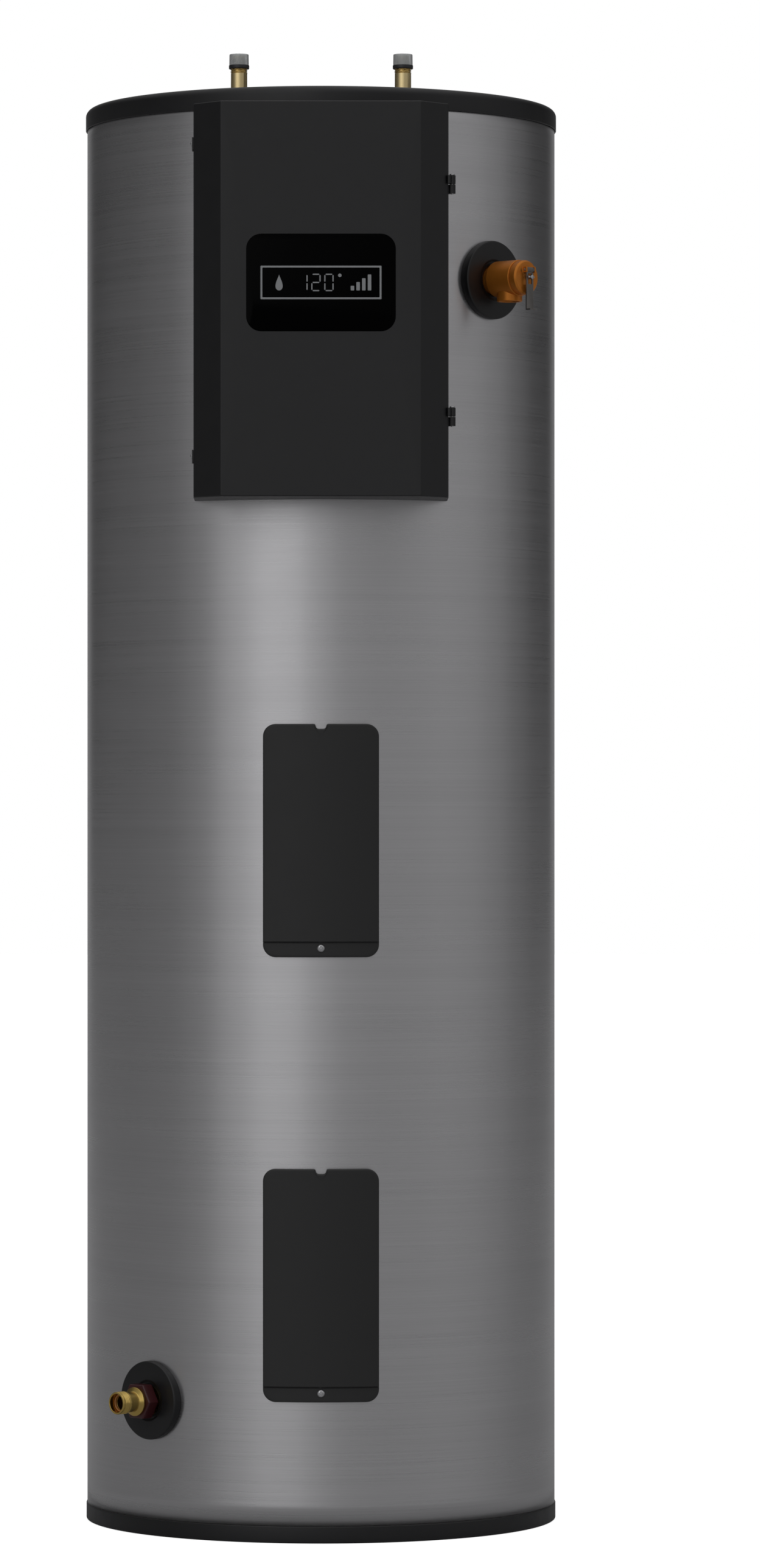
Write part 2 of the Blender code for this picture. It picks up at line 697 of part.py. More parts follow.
def make_door_hardware():
    for name, centre in HINGE_HEIGHTS.items():
        low, high = centre - HINGE_LENGTH / 2 - 0.001, centre + HINGE_LENGTH / 2
        pin = rod(HINGE_PIN_RADIUS, low, high, 16)
        head = rod(HINGE_RADIUS - 0.0008, high + GAP, high + 0.0015, 16)
        pin_obj = add(f"{name}_hinge_pin", pin, "zinc_steel")
        neck = rod(HINGE_PIN_RADIUS, high - 0.001, high + 0.001, 16)
        join(pin_obj, tool(f"pin_neck_{name}", neck), tool(f"pin_head_{name}", head))
        for obj in (pin_obj, bpy.data.objects[f"pin_neck_{name}"], bpy.data.objects[f"pin_head_{name}"]):
            obj.location = (hinge_axis(), -BOX_SPLIT, 0)
    surface = GAP + DOOR_TAB_WALL
    for name, height in DOOR_SCREW_HEIGHTS.items():
        screw = add(
            f"{name}_door_screw", door_screw_rod(DOOR_SCREW_RADIUS, surface + 0.001, -0.004), "zinc_steel"
        )
        head = door_screw_rod(DOOR_SCREW_HEAD, surface + 0.0018, surface + GAP)
        join(screw, tool(f"screw_head_{name}", head))
        for obj in (screw, bpy.data.objects[f"screw_head_{name}"]):
            obj.location = (0, 0, height)


def make_display():
    outline = rounded_rectangle(
        WINDOW_WIDTH, WINDOW_HEIGHT, WINDOW_CORNER - GAP, (0, WINDOW_HEIGHT_CENTRE)
    )
    front = BOX_FRONT + LENS_PROUD
    lens = prism(outline, front - LENS_THICKNESS, front, facing_front)
    add("display_lens", lens, "gloss_black")
    board_front = front - LENS_THICKNESS - 0.003
    board = block(
        (-WINDOW_WIDTH / 2 + 0.006, -board_front, WINDOW_HEIGHT_CENTRE - WINDOW_HEIGHT / 2 + 0.006),
        (WINDOW_WIDTH / 2 - 0.006, -board_front + 0.0016, WINDOW_HEIGHT_CENTRE + WINDOW_HEIGHT / 2 - 0.006),
    )
    add("display_board", board, "circuit_board")


def on_back_plate(centre_x, centre_z, size, lift=GAP):
    """A block on the back plate; size is (width, depth, height)."""
    back = BOX_BACK_PLATE + lift
    return block(
        (centre_x - size[0] / 2, -back - size[1], centre_z - size[2] / 2),
        (centre_x + size[0] / 2, -back, centre_z + size[2] / 2),
    )


def make_box_contents():
    board = add("control_board", on_back_plate(-0.050, BOARD_HEIGHT, (0.130, 0.0016, 0.180), 0.008), "circuit_board")
    low, high = BOARD_HEIGHT - 0.080, BOARD_HEIGHT + 0.080
    for k, (x, z) in enumerate(((-0.105, low), (0.005, low), (-0.105, high), (0.005, high))):
        post = on_back_plate(x, z, (0.008, 0.009, 0.008))
        join(board, tool(f"board_post_{k}", post))
    add("contactor", on_back_plate(0.080, CONTACTOR_HEIGHT, (0.056, 0.052, 0.070)), "bakelite")
    terminals = add("terminal_block", on_back_plate(0.080, TERMINAL_HEIGHT, (0.060, 0.018, 0.034)), "bakelite")
    for k in range(3):
        barrier = on_back_plate(0.062 + 0.018 * k, TERMINAL_HEIGHT, (0.003, 0.028, 0.034))
        join(terminals, tool(f"terminal_barrier_{k}", barrier))
    grommet = turned(
        [
            (HARNESS_RADIUS + GAP, BOX_BACK_PLATE - BOX_WALL - 0.0015),
            (GROMMET_RADIUS - GAP, BOX_BACK_PLATE - BOX_WALL - 0.0015),
            (GROMMET_RADIUS - GAP, BOX_BACK_PLATE + GAP),
            (GROMMET_RADIUS + 0.003, BOX_BACK_PLATE + GAP),
            (GROMMET_RADIUS + 0.003, BOX_BACK_PLATE + 0.002),
            (HARNESS_RADIUS + GAP, BOX_BACK_PLATE + 0.002),
        ],
        20,
        TO_FRONT,
    )
    obj = add("wire_grommet", grommet, "rubber")
    obj.location = (HARNESS_X, 0, HARNESS_ENTRY)


# Wiring


def make_harness():
    """Sheathed wires from the box down behind the foam to the upper pocket, and on to the lower one."""
    upper, lower = POCKET_HEIGHTS["upper"], POCKET_HEIGHTS["lower"]
    half = OPENING_HEIGHT / 2
    corner = (HARNESS_DEPTH + HARNESS_BEND, HARNESS_ENTRY - HARNESS_BEND)
    bend = arc(corner, HARNESS_BEND, 90, 180, 6)
    route = [(BOX_BACK_PLATE + 0.006, HARNESS_ENTRY)] + bend + [(HARNESS_DEPTH, upper + half - 0.005)]
    harness("upper_harness", route)
    harness("lower_harness", [(HARNESS_DEPTH, upper - half + 0.005), (HARNESS_DEPTH, lower + half - 0.005)])


def harness(name, route):
    curve = bpy.data.curves.new(name, "CURVE")
    curve.dimensions = "3D"
    curve.bevel_depth = HARNESS_RADIUS
    curve.bevel_resolution = 2
    curve.use_fill_caps = True
    spline = curve.splines.new("POLY")
    spline.points.add(len(route) - 1)
    for point, (depth, height) in zip(spline.points, route):
        point.co = (HARNESS_X, -depth, height, 1)
    curve.materials.append(material("wire"))
    obj = bpy.data.objects.new(name, curve)
    bpy.context.collection.objects.link(obj)
    return obj


def cut_harness_ways():
    """The tunnel through foam and shrouds, its bend, and the hole through jacket and back plate."""
    low = POCKET_HEIGHTS["lower"] + OPENING_HEIGHT / 2 - 0.01
    down = rod(HARNESS_TUNNEL, low, HARNESS_ENTRY + HARNESS_TUNNEL, 12)
    down.transform(Matrix.Translation((HARNESS_X, -HARNESS_DEPTH, 0)))
    bend = block(
        (HARNESS_X - HARNESS_TUNNEL, -JACKET_RADIUS, HARNESS_ENTRY - HARNESS_BEND - HARNESS_TUNNEL),
        (HARNESS_X + HARNESS_TUNNEL, -HARNESS_DEPTH + HARNESS_TUNNEL, HARNESS_ENTRY + HARNESS_TUNNEL),
    )
    hole = rod(GROMMET_RADIUS, JACKET_RADIUS - 0.02, BOX_BACK_PLATE + 0.02, 20, TO_FRONT)
    hole.transform(Matrix.Translation((HARNESS_X, 0, HARNESS_ENTRY)))
    down_tool, bend_tool = tool("cut_harness_down", down), tool("cut_harness_bend", bend)
    hole_tool = tool("cut_harness_hole", hole)
    cut(bpy.data.objects["foam_insulation"], down_tool, bend_tool)
    cut(bpy.data.objects["jacket"], hole_tool)
    cut(bpy.data.objects["control_box_base"], hole_tool)
    for name in POCKET_HEIGHTS:
        cut(bpy.data.objects[f"{name}_shroud"], down_tool)


def make_cable_inlet():
    """Bushing for the supply cable, snapped into the lid."""
    outline = [
        (INLET_RADIUS, LID_TOP - 0.012),
        (INLET_RADIUS + BOX_WALL - GAP, LID_TOP - 0.012),
        (INLET_RADIUS + BOX_WALL - GAP, LID_TOP + GAP),
        (INLET_FLANGE, LID_TOP + GAP),
        (INLET_FLANGE, LID_TOP + 0.003),
        (INLET_RADIUS, LID_TOP + 0.003),
    ]
    obj = add("cable_inlet_bushing", turned(outline, 24), "black_plastic")
    obj.location = (0, -INLET_DEPTH, 0)


# Element pockets


def cover_outline(centre):
    """Rounded rectangle with a U notch in the middle of its top edge."""
    x, z = COVER_WIDTH / 2 - COVER_CORNER, COVER_HEIGHT / 2 - COVER_CORNER
    top = centre + COVER_HEIGHT / 2
    notch = NOTCH_WIDTH / 2
    points = arc((x, centre - z), COVER_CORNER, -90, 0, 4)
    points += arc((x, centre + z), COVER_CORNER, 0, 90, 4)
    points += [(notch, top)] + arc((0, top - NOTCH_DEPTH + notch), notch, 0, -180, 6)[1:-1] + [(-notch, top)]
    points += arc((-x, centre + z), COVER_CORNER, 90, 180, 4)
    points += arc((-x, centre - z), COVER_CORNER, 180, 270, 4)
    return points


def make_cover(name, centre):
    """Shallow curved pan that hugs the jacket, with a stepped foot for its screw."""
    bottom, top = centre - COVER_HEIGHT / 2, centre + COVER_HEIGHT / 2
    span = (bottom - 0.05, top + 0.05)
    shape = prism(cover_outline(centre), JACKET_RADIUS - 0.06, JACKET_RADIUS + 0.02, facing_front)
    cover = add(f"{name}_access_cover", shape, "cover_plastic")
    skin = rod(JACKET_RADIUS + COVER_PROUD, *span, SHELL_SEGMENTS)
    keep(cover, tool(f"skin_{name}_cover", skin))
    body = rod(JACKET_RADIUS + GAP, *span, SHELL_SEGMENTS)
    cut(cover, tool(f"cut_{name}_cover_body", body))
    room = block(
        (-COVER_WIDTH / 2 + COVER_RIM, -JACKET_RADIUS - COVER_PROUD, bottom + COVER_TAB_HEIGHT + COVER_RIM),
        (COVER_WIDTH / 2 - COVER_RIM, -0.2, top - NOTCH_DEPTH - COVER_RIM),
    )
    hollow = tool(f"cut_{name}_cover_hollow", room)
    inside = rod(JACKET_RADIUS + COVER_PROUD - COVER_WALL, *span, SHELL_SEGMENTS)
    keep(hollow, tool(f"inside_{name}_cover", inside))
    cut(cover, hollow)
    step = tool(
        f"cut_{name}_cover_step",
        block(
            (-COVER_WIDTH, -JACKET_RADIUS - 0.02, bottom - 0.01),
            (COVER_WIDTH, -0.2, bottom + COVER_TAB_HEIGHT),
        ),
    )
    tab_skin = rod(JACKET_RADIUS + COVER_TAB_PROUD, *span, SHELL_SEGMENTS)
    cut(step, tool(f"tab_skin_{name}_cover", tab_skin))
    cut(cover, step)
    hole = rod(COVER_SCREW_RADIUS + GAP, JACKET_RADIUS - 0.004, JACKET_RADIUS + 0.02, 16, TO_FRONT)
    hole.transform(Matrix.Translation((0, 0, bottom + COVER_SCREW_RISE)))
    hole_tool = tool(f"cut_{name}_cover_screw", hole)
    cut(cover, hole_tool)
    cut(bpy.data.objects["jacket"], hole_tool)
    seat = JACKET_RADIUS + COVER_TAB_PROUD + GAP
    screw = turned(
        [
            (0, JACKET_RADIUS - JACKET_WALL),
            (COVER_SCREW_RADIUS, JACKET_RADIUS - JACKET_WALL),
            (COVER_SCREW_RADIUS, seat),
            (COVER_SCREW_HEAD, seat),
            (COVER_SCREW_HEAD, seat + COVER_SCREW_HEAD_HEIGHT * 0.5),
            (COVER_SCREW_HEAD * 0.6, seat + COVER_SCREW_HEAD_HEIGHT),
            (0, seat + COVER_SCREW_HEAD_HEIGHT),
        ],
        16,
        TO_FRONT,
    )
    obj = add(f"{name}_cover_screw", screw, "zinc_steel")
    obj.location = (0, 0, bottom + COVER_SCREW_RISE)


def make_pocket(name, centre):
    """Everything behind one access cover."""
    half = (OPENING_WIDTH / 2, OPENING_HEIGHT / 2)
    opening = block(
        (-half[0], -JACKET_RADIUS - 0.01, centre - half[1]), (half[0], -TANK_RADIUS, centre + half[1])
    )
    opening_tool = tool(f"cut_{name}_opening", opening)
    cut(bpy.data.objects["jacket"], opening_tool)
    outer = (half[0] + SHROUD_WALL, half[1] + SHROUD_WALL)
    shape = block((-outer[0], -JACKET_RADIUS, centre - outer[1]), (outer[0], -0.2, centre + outer[1]))
    shroud = add(f"{name}_shroud", shape, "white_plastic")
    span = (centre - 0.2, centre + 0.2)
    within = rod(JACKET_RADIUS - JACKET_WALL - GAP, *span, SHELL_SEGMENTS)
    keep(shroud, tool(f"within_{name}_shroud", within))
    tank = rod(TANK_RADIUS + FOAM_CLEARANCE, *span, TANK_SEGMENTS)
    room = block((-half[0], -JACKET_RADIUS - 0.01, centre - half[1]), (half[0], -0.1, centre + half[1]))
    cut(shroud, tool(f"cut_{name}_shroud_tank", tank), tool(f"cut_{name}_shroud_room", room))
    front = JACKET_RADIUS - GAP * 8
    pad = block(
        (-half[0] + PAD_CLEARANCE, -front, centre - half[1] + PAD_CLEARANCE),
        (half[0] - PAD_CLEARANCE, -front + PAD_THICKNESS, centre + half[1] - PAD_CLEARANCE),
    )
    add(f"{name}_insulation_pad", pad, "glass_wool")
    make_element(name, centre - ELEMENT_DROP)
    make_thermostat(name, centre + THERMOSTAT_RISE)
    make_cover(name, centre)


def make_element(name, height):
    place = Matrix.Translation((0, 0, height))
    boss_face = TANK_RADIUS + ELEMENT_BOSS_PROUD
    gasket = tube(
        ELEMENT_HEX_RADIUS,
        ELEMENT_SHANK_RADIUS + GAP,
        boss_face + GAP,
        boss_face + GASKET_THICKNESS,
        20,
        TO_FRONT,
    )
    gasket.transform(place)
    add(f"{name}_element_gasket", gasket, "rubber")
    hex_back = boss_face + GASKET_THICKNESS + GAP
    hex_front = hex_back + ELEMENT_HEX_HEIGHT
    flange = hexagon(ELEMENT_HEX_RADIUS, hex_back, hex_front, TO_FRONT)
    flange.transform(place)
    element = add(f"{name}_heating_element", flange, "zinc_steel")
    shank_end = TANK_RADIUS - TANK_WALL * 4
    shank = rod(ELEMENT_SHANK_RADIUS, shank_end, hex_back + 0.002, 20, TO_FRONT)
    shank.transform(place)
    join(element, tool(f"{name}_element_shank", shank), hairpin(name, height, shank_end))
    head = rod(ELEMENT_HEAD_RADIUS, hex_front + GAP, hex_front + ELEMENT_HEAD_HEIGHT, 20, TO_FRONT)
    head.transform(place)
    add(f"{name}_element_head", head, "bakelite")


def hairpin(name, height, start):
    """The element's sheathed loop: two legs and the bend that joins them, swept by a round section."""
    reach = start + 0.004 - ELEMENT_LENGTH
    bend = arc((reach + ELEMENT_ROD_SPREAD, 0), ELEMENT_ROD_SPREAD, 90, 270, 6)
    route = [(start + 0.004, ELEMENT_ROD_SPREAD)] + bend + [(start + 0.004, -ELEMENT_ROD_SPREAD)]
    directions = []
    for k in range(len(route)):
        before, after = route[max(k - 1, 0)], route[min(k + 1, len(route) - 1)]
        directions.append(Vector((after[0] - before[0], after[1] - before[1])).normalized())
    shape = bmesh.new()
    sides = 8
    rings = []
    for (depth, rise), direction in zip(route, directions):
        normal = Vector((-direction.y, direction.x))
        ring = []
        for s in range(sides):
            angle = 2 * math.pi * s / sides
            across, sideways = ELEMENT_ROD_RADIUS * math.cos(angle), ELEMENT_ROD_RADIUS * math.sin(angle)
            ring.append(
                shape.verts.new(
                    (sideways, -(depth + normal.x * across), height + rise + normal.y * across)
                )
            )
        rings.append(ring)
    for ring, after in zip(rings, rings[1:]):
        for s in range(sides):
            t = (s + 1) % sides
            shape.faces.new((ring[s], ring[t], after[t], after[s]))
    shape.faces.new(rings[0])
    shape.faces.new(rings[-1])
    return tool(f"{name}_element_loop", shape)


def make_thermostat(name, height):
    back = TANK_RADIUS + 0.0008
    front = back + THERMOSTAT_DEPTH
    width, tall = THERMOSTAT_WIDTH / 2, THERMOSTAT_HEIGHT / 2
    shape = block((-width, -front, height - tall), (width, -back, height + tall))
    body = add(f"{name}_thermostat", shape, "bakelite")
    outer = (width + CLIP_MARGIN, tall + CLIP_MARGIN)
    clip_front = back + 0.0004 + CLIP_WALL
    plate = block(
        (-outer[0], -clip_front, height - outer[1]), (outer[0], -back - 0.0004, height + outer[1])
    )
    clip = add(f"{name}_thermostat_clip", plate, "zinc_steel")
    window = block(
        (-width - GAP, -front, height - tall - GAP), (width + GAP, -back + 0.01, height + tall + GAP)
    )
    cut(clip, tool(f"cut_{name}_clip", window))
    dial = rod(DIAL_RADIUS, front + RUNNING, front + RUNNING + DIAL_HEIGHT, 24, TO_FRONT)
    dial.transform(Matrix.Translation((0, 0, height - DIAL_DROP)))
    dial_obj = add(f"{name}_dial", dial, "white_plastic")
    slot = block(
        (-0.0008, -front - 0.01, height - DIAL_DROP - DIAL_RADIUS * 0.7),
        (0.0008, -front - RUNNING - DIAL_HEIGHT * 0.6, height - DIAL_DROP + DIAL_RADIUS * 0.7),
    )
    cut(dial_obj, tool(f"cut_{name}_dial", slot))
    if name == "upper":
        place = Matrix.Translation((0, 0, height + RESET_RISE))
        recess = rod(RESET_RADIUS + GAP, front - RESET_RECESS, front + 0.01, 20, TO_FRONT)
        recess.transform(place)
        cut(body, tool("cut_reset", recess))
        button = rod(RESET_RADIUS, front - RESET_SHANK, front + DIAL_HEIGHT, 20, TO_FRONT)
        button.transform(place)
        add("reset_button", button, "red_plastic")


# Valves


def valve_frames():
    """The relief valve's frame to the right of the front and the drain valve's to the left."""
    frames = {}
    for name, azimuth, height in (
        ("relief", VALVE_AZIMUTH, RELIEF_HEIGHT),
        ("drain", -VALVE_AZIMUTH, DRAIN_HEIGHT),
    ):
        key = f"{name}_frame"
        frames[name] = bpy.data.objects.get(key) or radial_frame(key, azimuth, height)
    return frames


def make_escutcheon(name):
    frame = valve_frames()[name]
    face = JACKET_RADIUS + ESCUTCHEON_PROUD
    edge = 0.002
    outline = [(ESCUTCHEON_BORE, JACKET_RADIUS - 0.02), (ESCUTCHEON_RADIUS, JACKET_RADIUS - 0.02)]
    outline += arc((ESCUTCHEON_RADIUS - edge, face - edge), edge, 0, 90, 3)
    outline += [(ESCUTCHEON_BORE, face)]
    ring = add(f"{name}_escutcheon", turned(outline, 36, TO_X), "black_plastic", frame)
    height = frame.location.z
    body = rod(JACKET_RADIUS + GAP, height - 0.1, height + 0.1, SHELL_SEGMENTS)
    cut(ring, tool(f"cut_{name}_escutcheon", body))
    hole = rod(VALVE_HOLE, JACKET_RADIUS - 0.02, JACKET_RADIUS + 0.02, turn=TO_X)
    cut(bpy.data.objects["jacket"], tool(f"cut_jacket_{name}", hole, frame))


def make_relief_valve():
    frame = valve_frames()["relief"]
    wall = JACKET_RADIUS
    end = wall + RELIEF_LENGTH
    seat = wall + 0.016
    outline = [
        (0, TANK_RADIUS),
        (PORT_RADIUS - GAP, TANK_RADIUS),
        (PORT_RADIUS - GAP, wall),
        (0.0165, wall + 0.001),
        (0.0165, wall + 0.009),
        (RELIEF_RADIUS - 0.001, wall + 0.010),
        (RELIEF_RADIUS, wall + 0.011),
        (RELIEF_RADIUS, end),
        (0, end),
    ]
    body = add("relief_valve_body", turned(outline, 28, TO_X), "bronze", frame)
    outlet = rod(RELIEF_OUTLET_RADIUS, -RELIEF_OUTLET_DROP, 0, 24)
    outlet.transform(Matrix.Translation((wall + RELIEF_OUTLET_OFFSET, 0, 0)))
    join(body, tool("relief_outlet", outlet, frame))
    inlet = rod(RELIEF_INLET, TANK_RADIUS - 0.01, seat + 0.001, 20, TO_X)
    chamber = rod(RELIEF_CHAMBER, seat, end + 0.01, 24, TO_X)
    way_out = rod(RELIEF_OUTLET_BORE, -RELIEF_OUTLET_DROP - 0.01, 0, 24)
    way_out.transform(Matrix.Translation((wall + RELIEF_OUTLET_OFFSET, 0, 0)))
    for name, shape in (("inlet", inlet), ("chamber", chamber), ("way_out", way_out)):
        cut(body, tool(f"cut_relief_{name}", shape, frame))
    make_bonnet(frame, end)
    make_relief_stem(frame, seat, end)
    make_relief_spring(frame, seat, end)
    make_relief_lever(frame, end)


def make_bonnet(frame, end):
    """Cap that closes the spring chamber, with two ears for the lever's pin."""
    bore = RELIEF_STEM_RADIUS + 0.0005
    outline = [
        (bore, end - 0.004),
        (RELIEF_CHAMBER - GAP, end - 0.004),
        (RELIEF_CHAMBER - GAP, end + GAP),
        (RELIEF_RADIUS - 0.001, end + GAP),
        (RELIEF_RADIUS - 0.001, end + BONNET_HEIGHT - 0.002),
        (RELIEF_RADIUS - 0.003, end + BONNET_HEIGHT),
        (bore, end + BONNET_HEIGHT),
    ]
    bonnet = add("relief_bonnet", turned(outline, 28, TO_X), "bronze", frame)
    top = end + BONNET_HEIGHT
    inner = LEVER_WIDTH / 2 + GAP
    for name, side in (("near", -1), ("far", 1)):
        near, far = sorted((side * inner, side * (inner + 0.002)))
        rise = LEVER_PIVOT_RISE
        ear = block((top - 0.003, near, rise - 0.0035), (top + 0.007, far, rise + 0.0035))
        join(bonnet, tool(f"ear_{name}", ear, frame))
    cut(bonnet, tool("cut_ears", lever_pin_rod(LEVER_PIN_RADIUS + GAP, 0.02, end), frame))
    return bonnet


def lever_pivot(end):
    """Place of the lever's pin along the valve's axis."""
    return end + BONNET_HEIGHT + 0.004


def lever_pin_rod(radius, half_length, end):
    shape = rod(radius, -half_length, half_length, 16, Matrix.Rotation(math.radians(90), 4, "X"))
    shape.transform(Matrix.Translation((lever_pivot(end), 0, LEVER_PIVOT_RISE)))
    return shape


def make_relief_stem(frame, seat, end):
    """Disc on the seat, and the rod that carries a cross pin in front of the lever."""
    tip = lever_face(end) + 0.0004 + 0.0012
    outline = [
        (0, seat + GAP),
        (0.0115, seat + GAP),
        (0.0115, seat + 0.003),
        (RELIEF_STEM_RADIUS, seat + 0.0045),
        (RELIEF_STEM_RADIUS, tip + 0.0025),
        (0, tip + 0.0025),
    ]
    stem = add("relief_stem", turned(outline, 20, TO_X), "zinc_steel", frame)
    cross = rod(0.0012, -0.0050, 0.0050, 12, Matrix.Rotation(math.radians(90), 4, "X"))
    cross.transform(Matrix.Translation((tip, 0, 0)))
    join(stem, tool("stem_cross_pin", cross, frame))


def lever_face(end):
    """Outer face of the lever along the valve's axis."""
    return lever_pivot(end) + 0.001


def make_relief_spring(frame, seat, end):
    """Open coil between the disc and the bonnet."""
    wire, mean, turns, sides, per_turn = 0.0011, 0.0085, 5, 5, 10
    low, high = seat + 0.006, end - 0.0055
    shape = bmesh.new()
    rings = []
    for k in range(turns * per_turn + 1):
        angle = 2 * math.pi * k / per_turn
        along = low + (high - low) * k / (turns * per_turn)
        ring = []
        for s in range(sides):
            around = 2 * math.pi * s / sides
            radius = mean + wire * math.cos(around)
            ring.append(
                shape.verts.new(
                    (along + wire * math.sin(around), radius * math.cos(angle), radius * math.sin(angle))
                )
            )
        rings.append(ring)
    for ring, after in zip(rings, rings[1:]):
        for s in range(sides):
            t = (s + 1) % sides
            shape.faces.new((ring[s], ring[t], after[t], after[s]))
    shape.faces.new(rings[0])
    shape.faces.new(rings[-1])
    add("relief_spring", shape, "zinc_steel", frame)


def make_relief_lever(frame, end):
    """Strip that hangs from the pin in front of the bonnet, slotted for the stem, with a finger tip."""
    back, face = lever_face(end) - LEVER_WALL, lever_face(end)
    half = LEVER_WIDTH / 2
    strip = block((back, -half, -LEVER_DROP), (face, half, LEVER_PIVOT_RISE + 0.003))
    lever = add("relief_lever", strip, "zinc_steel", frame)
    eye = lever_pin_rod(0.003, half, end)
    tip = block((back, -half, -LEVER_DROP), (face + 0.006, half, -LEVER_DROP + 0.0015))
    join(lever, tool("lever_eye", eye, frame), tool("lever_tip", tip, frame))
    slot = block((back - 0.01, -0.0032, -0.0085), (face + 0.01, 0.0032, 0.0045))
    cut(lever, tool("cut_lever_slot", slot, frame))
    cut(lever, tool("cut_lever_eye", lever_pin_rod(LEVER_PIN_RADIUS + 0.0001, 0.02, end), frame))
    add("relief_lever_pin", lever_pin_rod(LEVER_PIN_RADIUS, half + 0.003, end), "zinc_steel", frame)


def make_drain_valve():
    frame = valve_frames()["drain"]
    wall = JACKET_RADIUS
    collar_front = wall + COLLAR_BACK + COLLAR_LENGTH
    shank_end = collar_front + 0.002
    seat = wall + 0.002
    outline = [
        (DRAIN_BORE, TANK_RADIUS),
        (DRAIN_SHANK, TANK_RADIUS),
        (DRAIN_SHANK, wall + 0.004),
        (0.0165, wall + 0.005),
        (0.0165, wall + COLLAR_BACK - RUNNING),
        (COLLAR_BORE - RUNNING, wall + COLLAR_BACK - RUNNING),
        (COLLAR_BORE - RUNNING, shank_end),
        (DRAIN_BORE, shank_end),
        (DRAIN_BORE, seat + 0.002),
        (0.0065, seat + 0.002),
        (0.0065, seat),
        (DRAIN_BORE, seat),
    ]
    add("drain_shank", turned(outline, 24, TO_X), "brass", frame)
    plug = rod(DRAIN_BORE - 2 * GAP, seat + 0.002 + GAP, seat + 0.007, 20, TO_X)
    add("drain_plug", plug, "rubber", frame)
    collar = turned(
        [
            (0, wall + COLLAR_BACK),
            (COLLAR_RADIUS, wall + COLLAR_BACK),
            (COLLAR_RADIUS, collar_front),
            (0, collar_front),
        ],
        6,
        TO_X,
    )
    handle = add("drain_handle", collar, "collar_plastic", frame)
    bore = rod(COLLAR_BORE, wall, collar_front + 0.01, 24, TO_X)
    cut(handle, tool("cut_collar", bore, frame))
    back, front = collar_front + RUNNING, wall + DRAIN_LENGTH
    outline = [
        (COLLAR_BORE, back),
        (0.0175, back),
        (0.0175, back + 0.003),
        (SPOUT_RADIUS - 0.0015, back + 0.005),
        (SPOUT_RADIUS - 0.0015, front - 0.014),
        (SPOUT_RADIUS, front - 0.013),
        (SPOUT_RADIUS, front - 0.001),
        (SPOUT_RADIUS - 0.001, front),
        (SPOUT_MOUTH, front),
        (SPOUT_MOUTH, front - SPOUT_MOUTH_DEPTH),
        (DRAIN_BORE, front - SPOUT_MOUTH_DEPTH),
        (DRAIN_BORE, shank_end + GAP),
        (COLLAR_BORE, shank_end + GAP),
    ]
    add("drain_spout", turned(outline, 24, TO_X), "brass", frame)
    floor = front - SPOUT_MOUTH_DEPTH + GAP
    washer = tube(SPOUT_MOUTH - GAP, DRAIN_BORE, floor, floor + 0.003, 24, TO_X)
    add("drain_washer", washer, "amber_rubber", frame)


def main():
    clear_scene()
    make_base_pan()
    make_jacket()
    make_top_lid()
    make_inner_tank()
    make_foam()
    make_connections()
    make_anode()
    make_box_base()
    make_door()
    make_door_hardware()
    make_display()
    make_box_contents()
    for name, centre in POCKET_HEIGHTS.items():
        make_pocket(name, centre)
    make_harness()
    cut_harness_ways()
    cut_supply_way()
    make_cable_inlet()
    for name in valve_frames():
        make_escutcheon(name)
    make_relief_valve()
    make_drain_valve()


main()
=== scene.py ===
"""Tank water heater: the visible pieces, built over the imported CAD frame.

Units are metres, +Z is up and the front faces -Y. An azimuth is counted from the front towards +X, and a
depth is a distance from the tank's axis towards the front. New pieces are surfaces on a grid of two
parameters, or profiles turned or carried along a path, worked out as whole arrays.
"""

import json
import math

import bmesh
import bpy
import numpy as np
from bpy.props import FloatProperty, FloatVectorProperty, PointerProperty
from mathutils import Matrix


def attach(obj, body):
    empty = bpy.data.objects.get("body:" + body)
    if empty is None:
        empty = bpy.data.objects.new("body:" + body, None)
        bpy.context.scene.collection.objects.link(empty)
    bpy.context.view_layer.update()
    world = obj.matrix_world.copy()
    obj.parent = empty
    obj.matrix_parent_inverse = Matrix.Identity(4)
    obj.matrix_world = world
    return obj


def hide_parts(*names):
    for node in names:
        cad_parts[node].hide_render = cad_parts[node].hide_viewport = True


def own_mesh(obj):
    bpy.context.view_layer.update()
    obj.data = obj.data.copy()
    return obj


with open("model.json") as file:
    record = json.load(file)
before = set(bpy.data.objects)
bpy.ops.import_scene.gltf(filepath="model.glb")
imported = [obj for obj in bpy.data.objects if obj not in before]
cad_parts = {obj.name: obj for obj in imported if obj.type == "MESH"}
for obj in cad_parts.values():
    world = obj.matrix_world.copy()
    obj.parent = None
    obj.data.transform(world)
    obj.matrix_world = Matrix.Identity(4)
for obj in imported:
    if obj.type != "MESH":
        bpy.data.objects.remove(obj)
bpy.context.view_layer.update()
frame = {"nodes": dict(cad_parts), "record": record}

bl_info = {
    "name": "Tank Water Heater",
    "version": (1, 0, 0),
    "blender": (4, 5, 0),
    "location": "View3D > Sidebar > Heater",
    "description": "Builds the visible pieces of a tank water heater over its CAD frame",
    "category": "Object",
}

TAU = 2 * math.pi
FRONT_VIEW_DISTANCE = 7.892
VIEW_HEIGHT = 0.888
LENS_MM, SENSOR_MM = 144.86, 36

# Shell
RADIUS = 0.292
JACKET_LOW, JACKET_HIGH = 0.0209, 1.745
BASE_RADIUS, BASE_HEIGHT = 0.2931, 0.0206
LID_RADIUS, LID_TOP, LID_SKIRT, LID_WALL = 0.2939, 1.757, 1.731, 0.0016

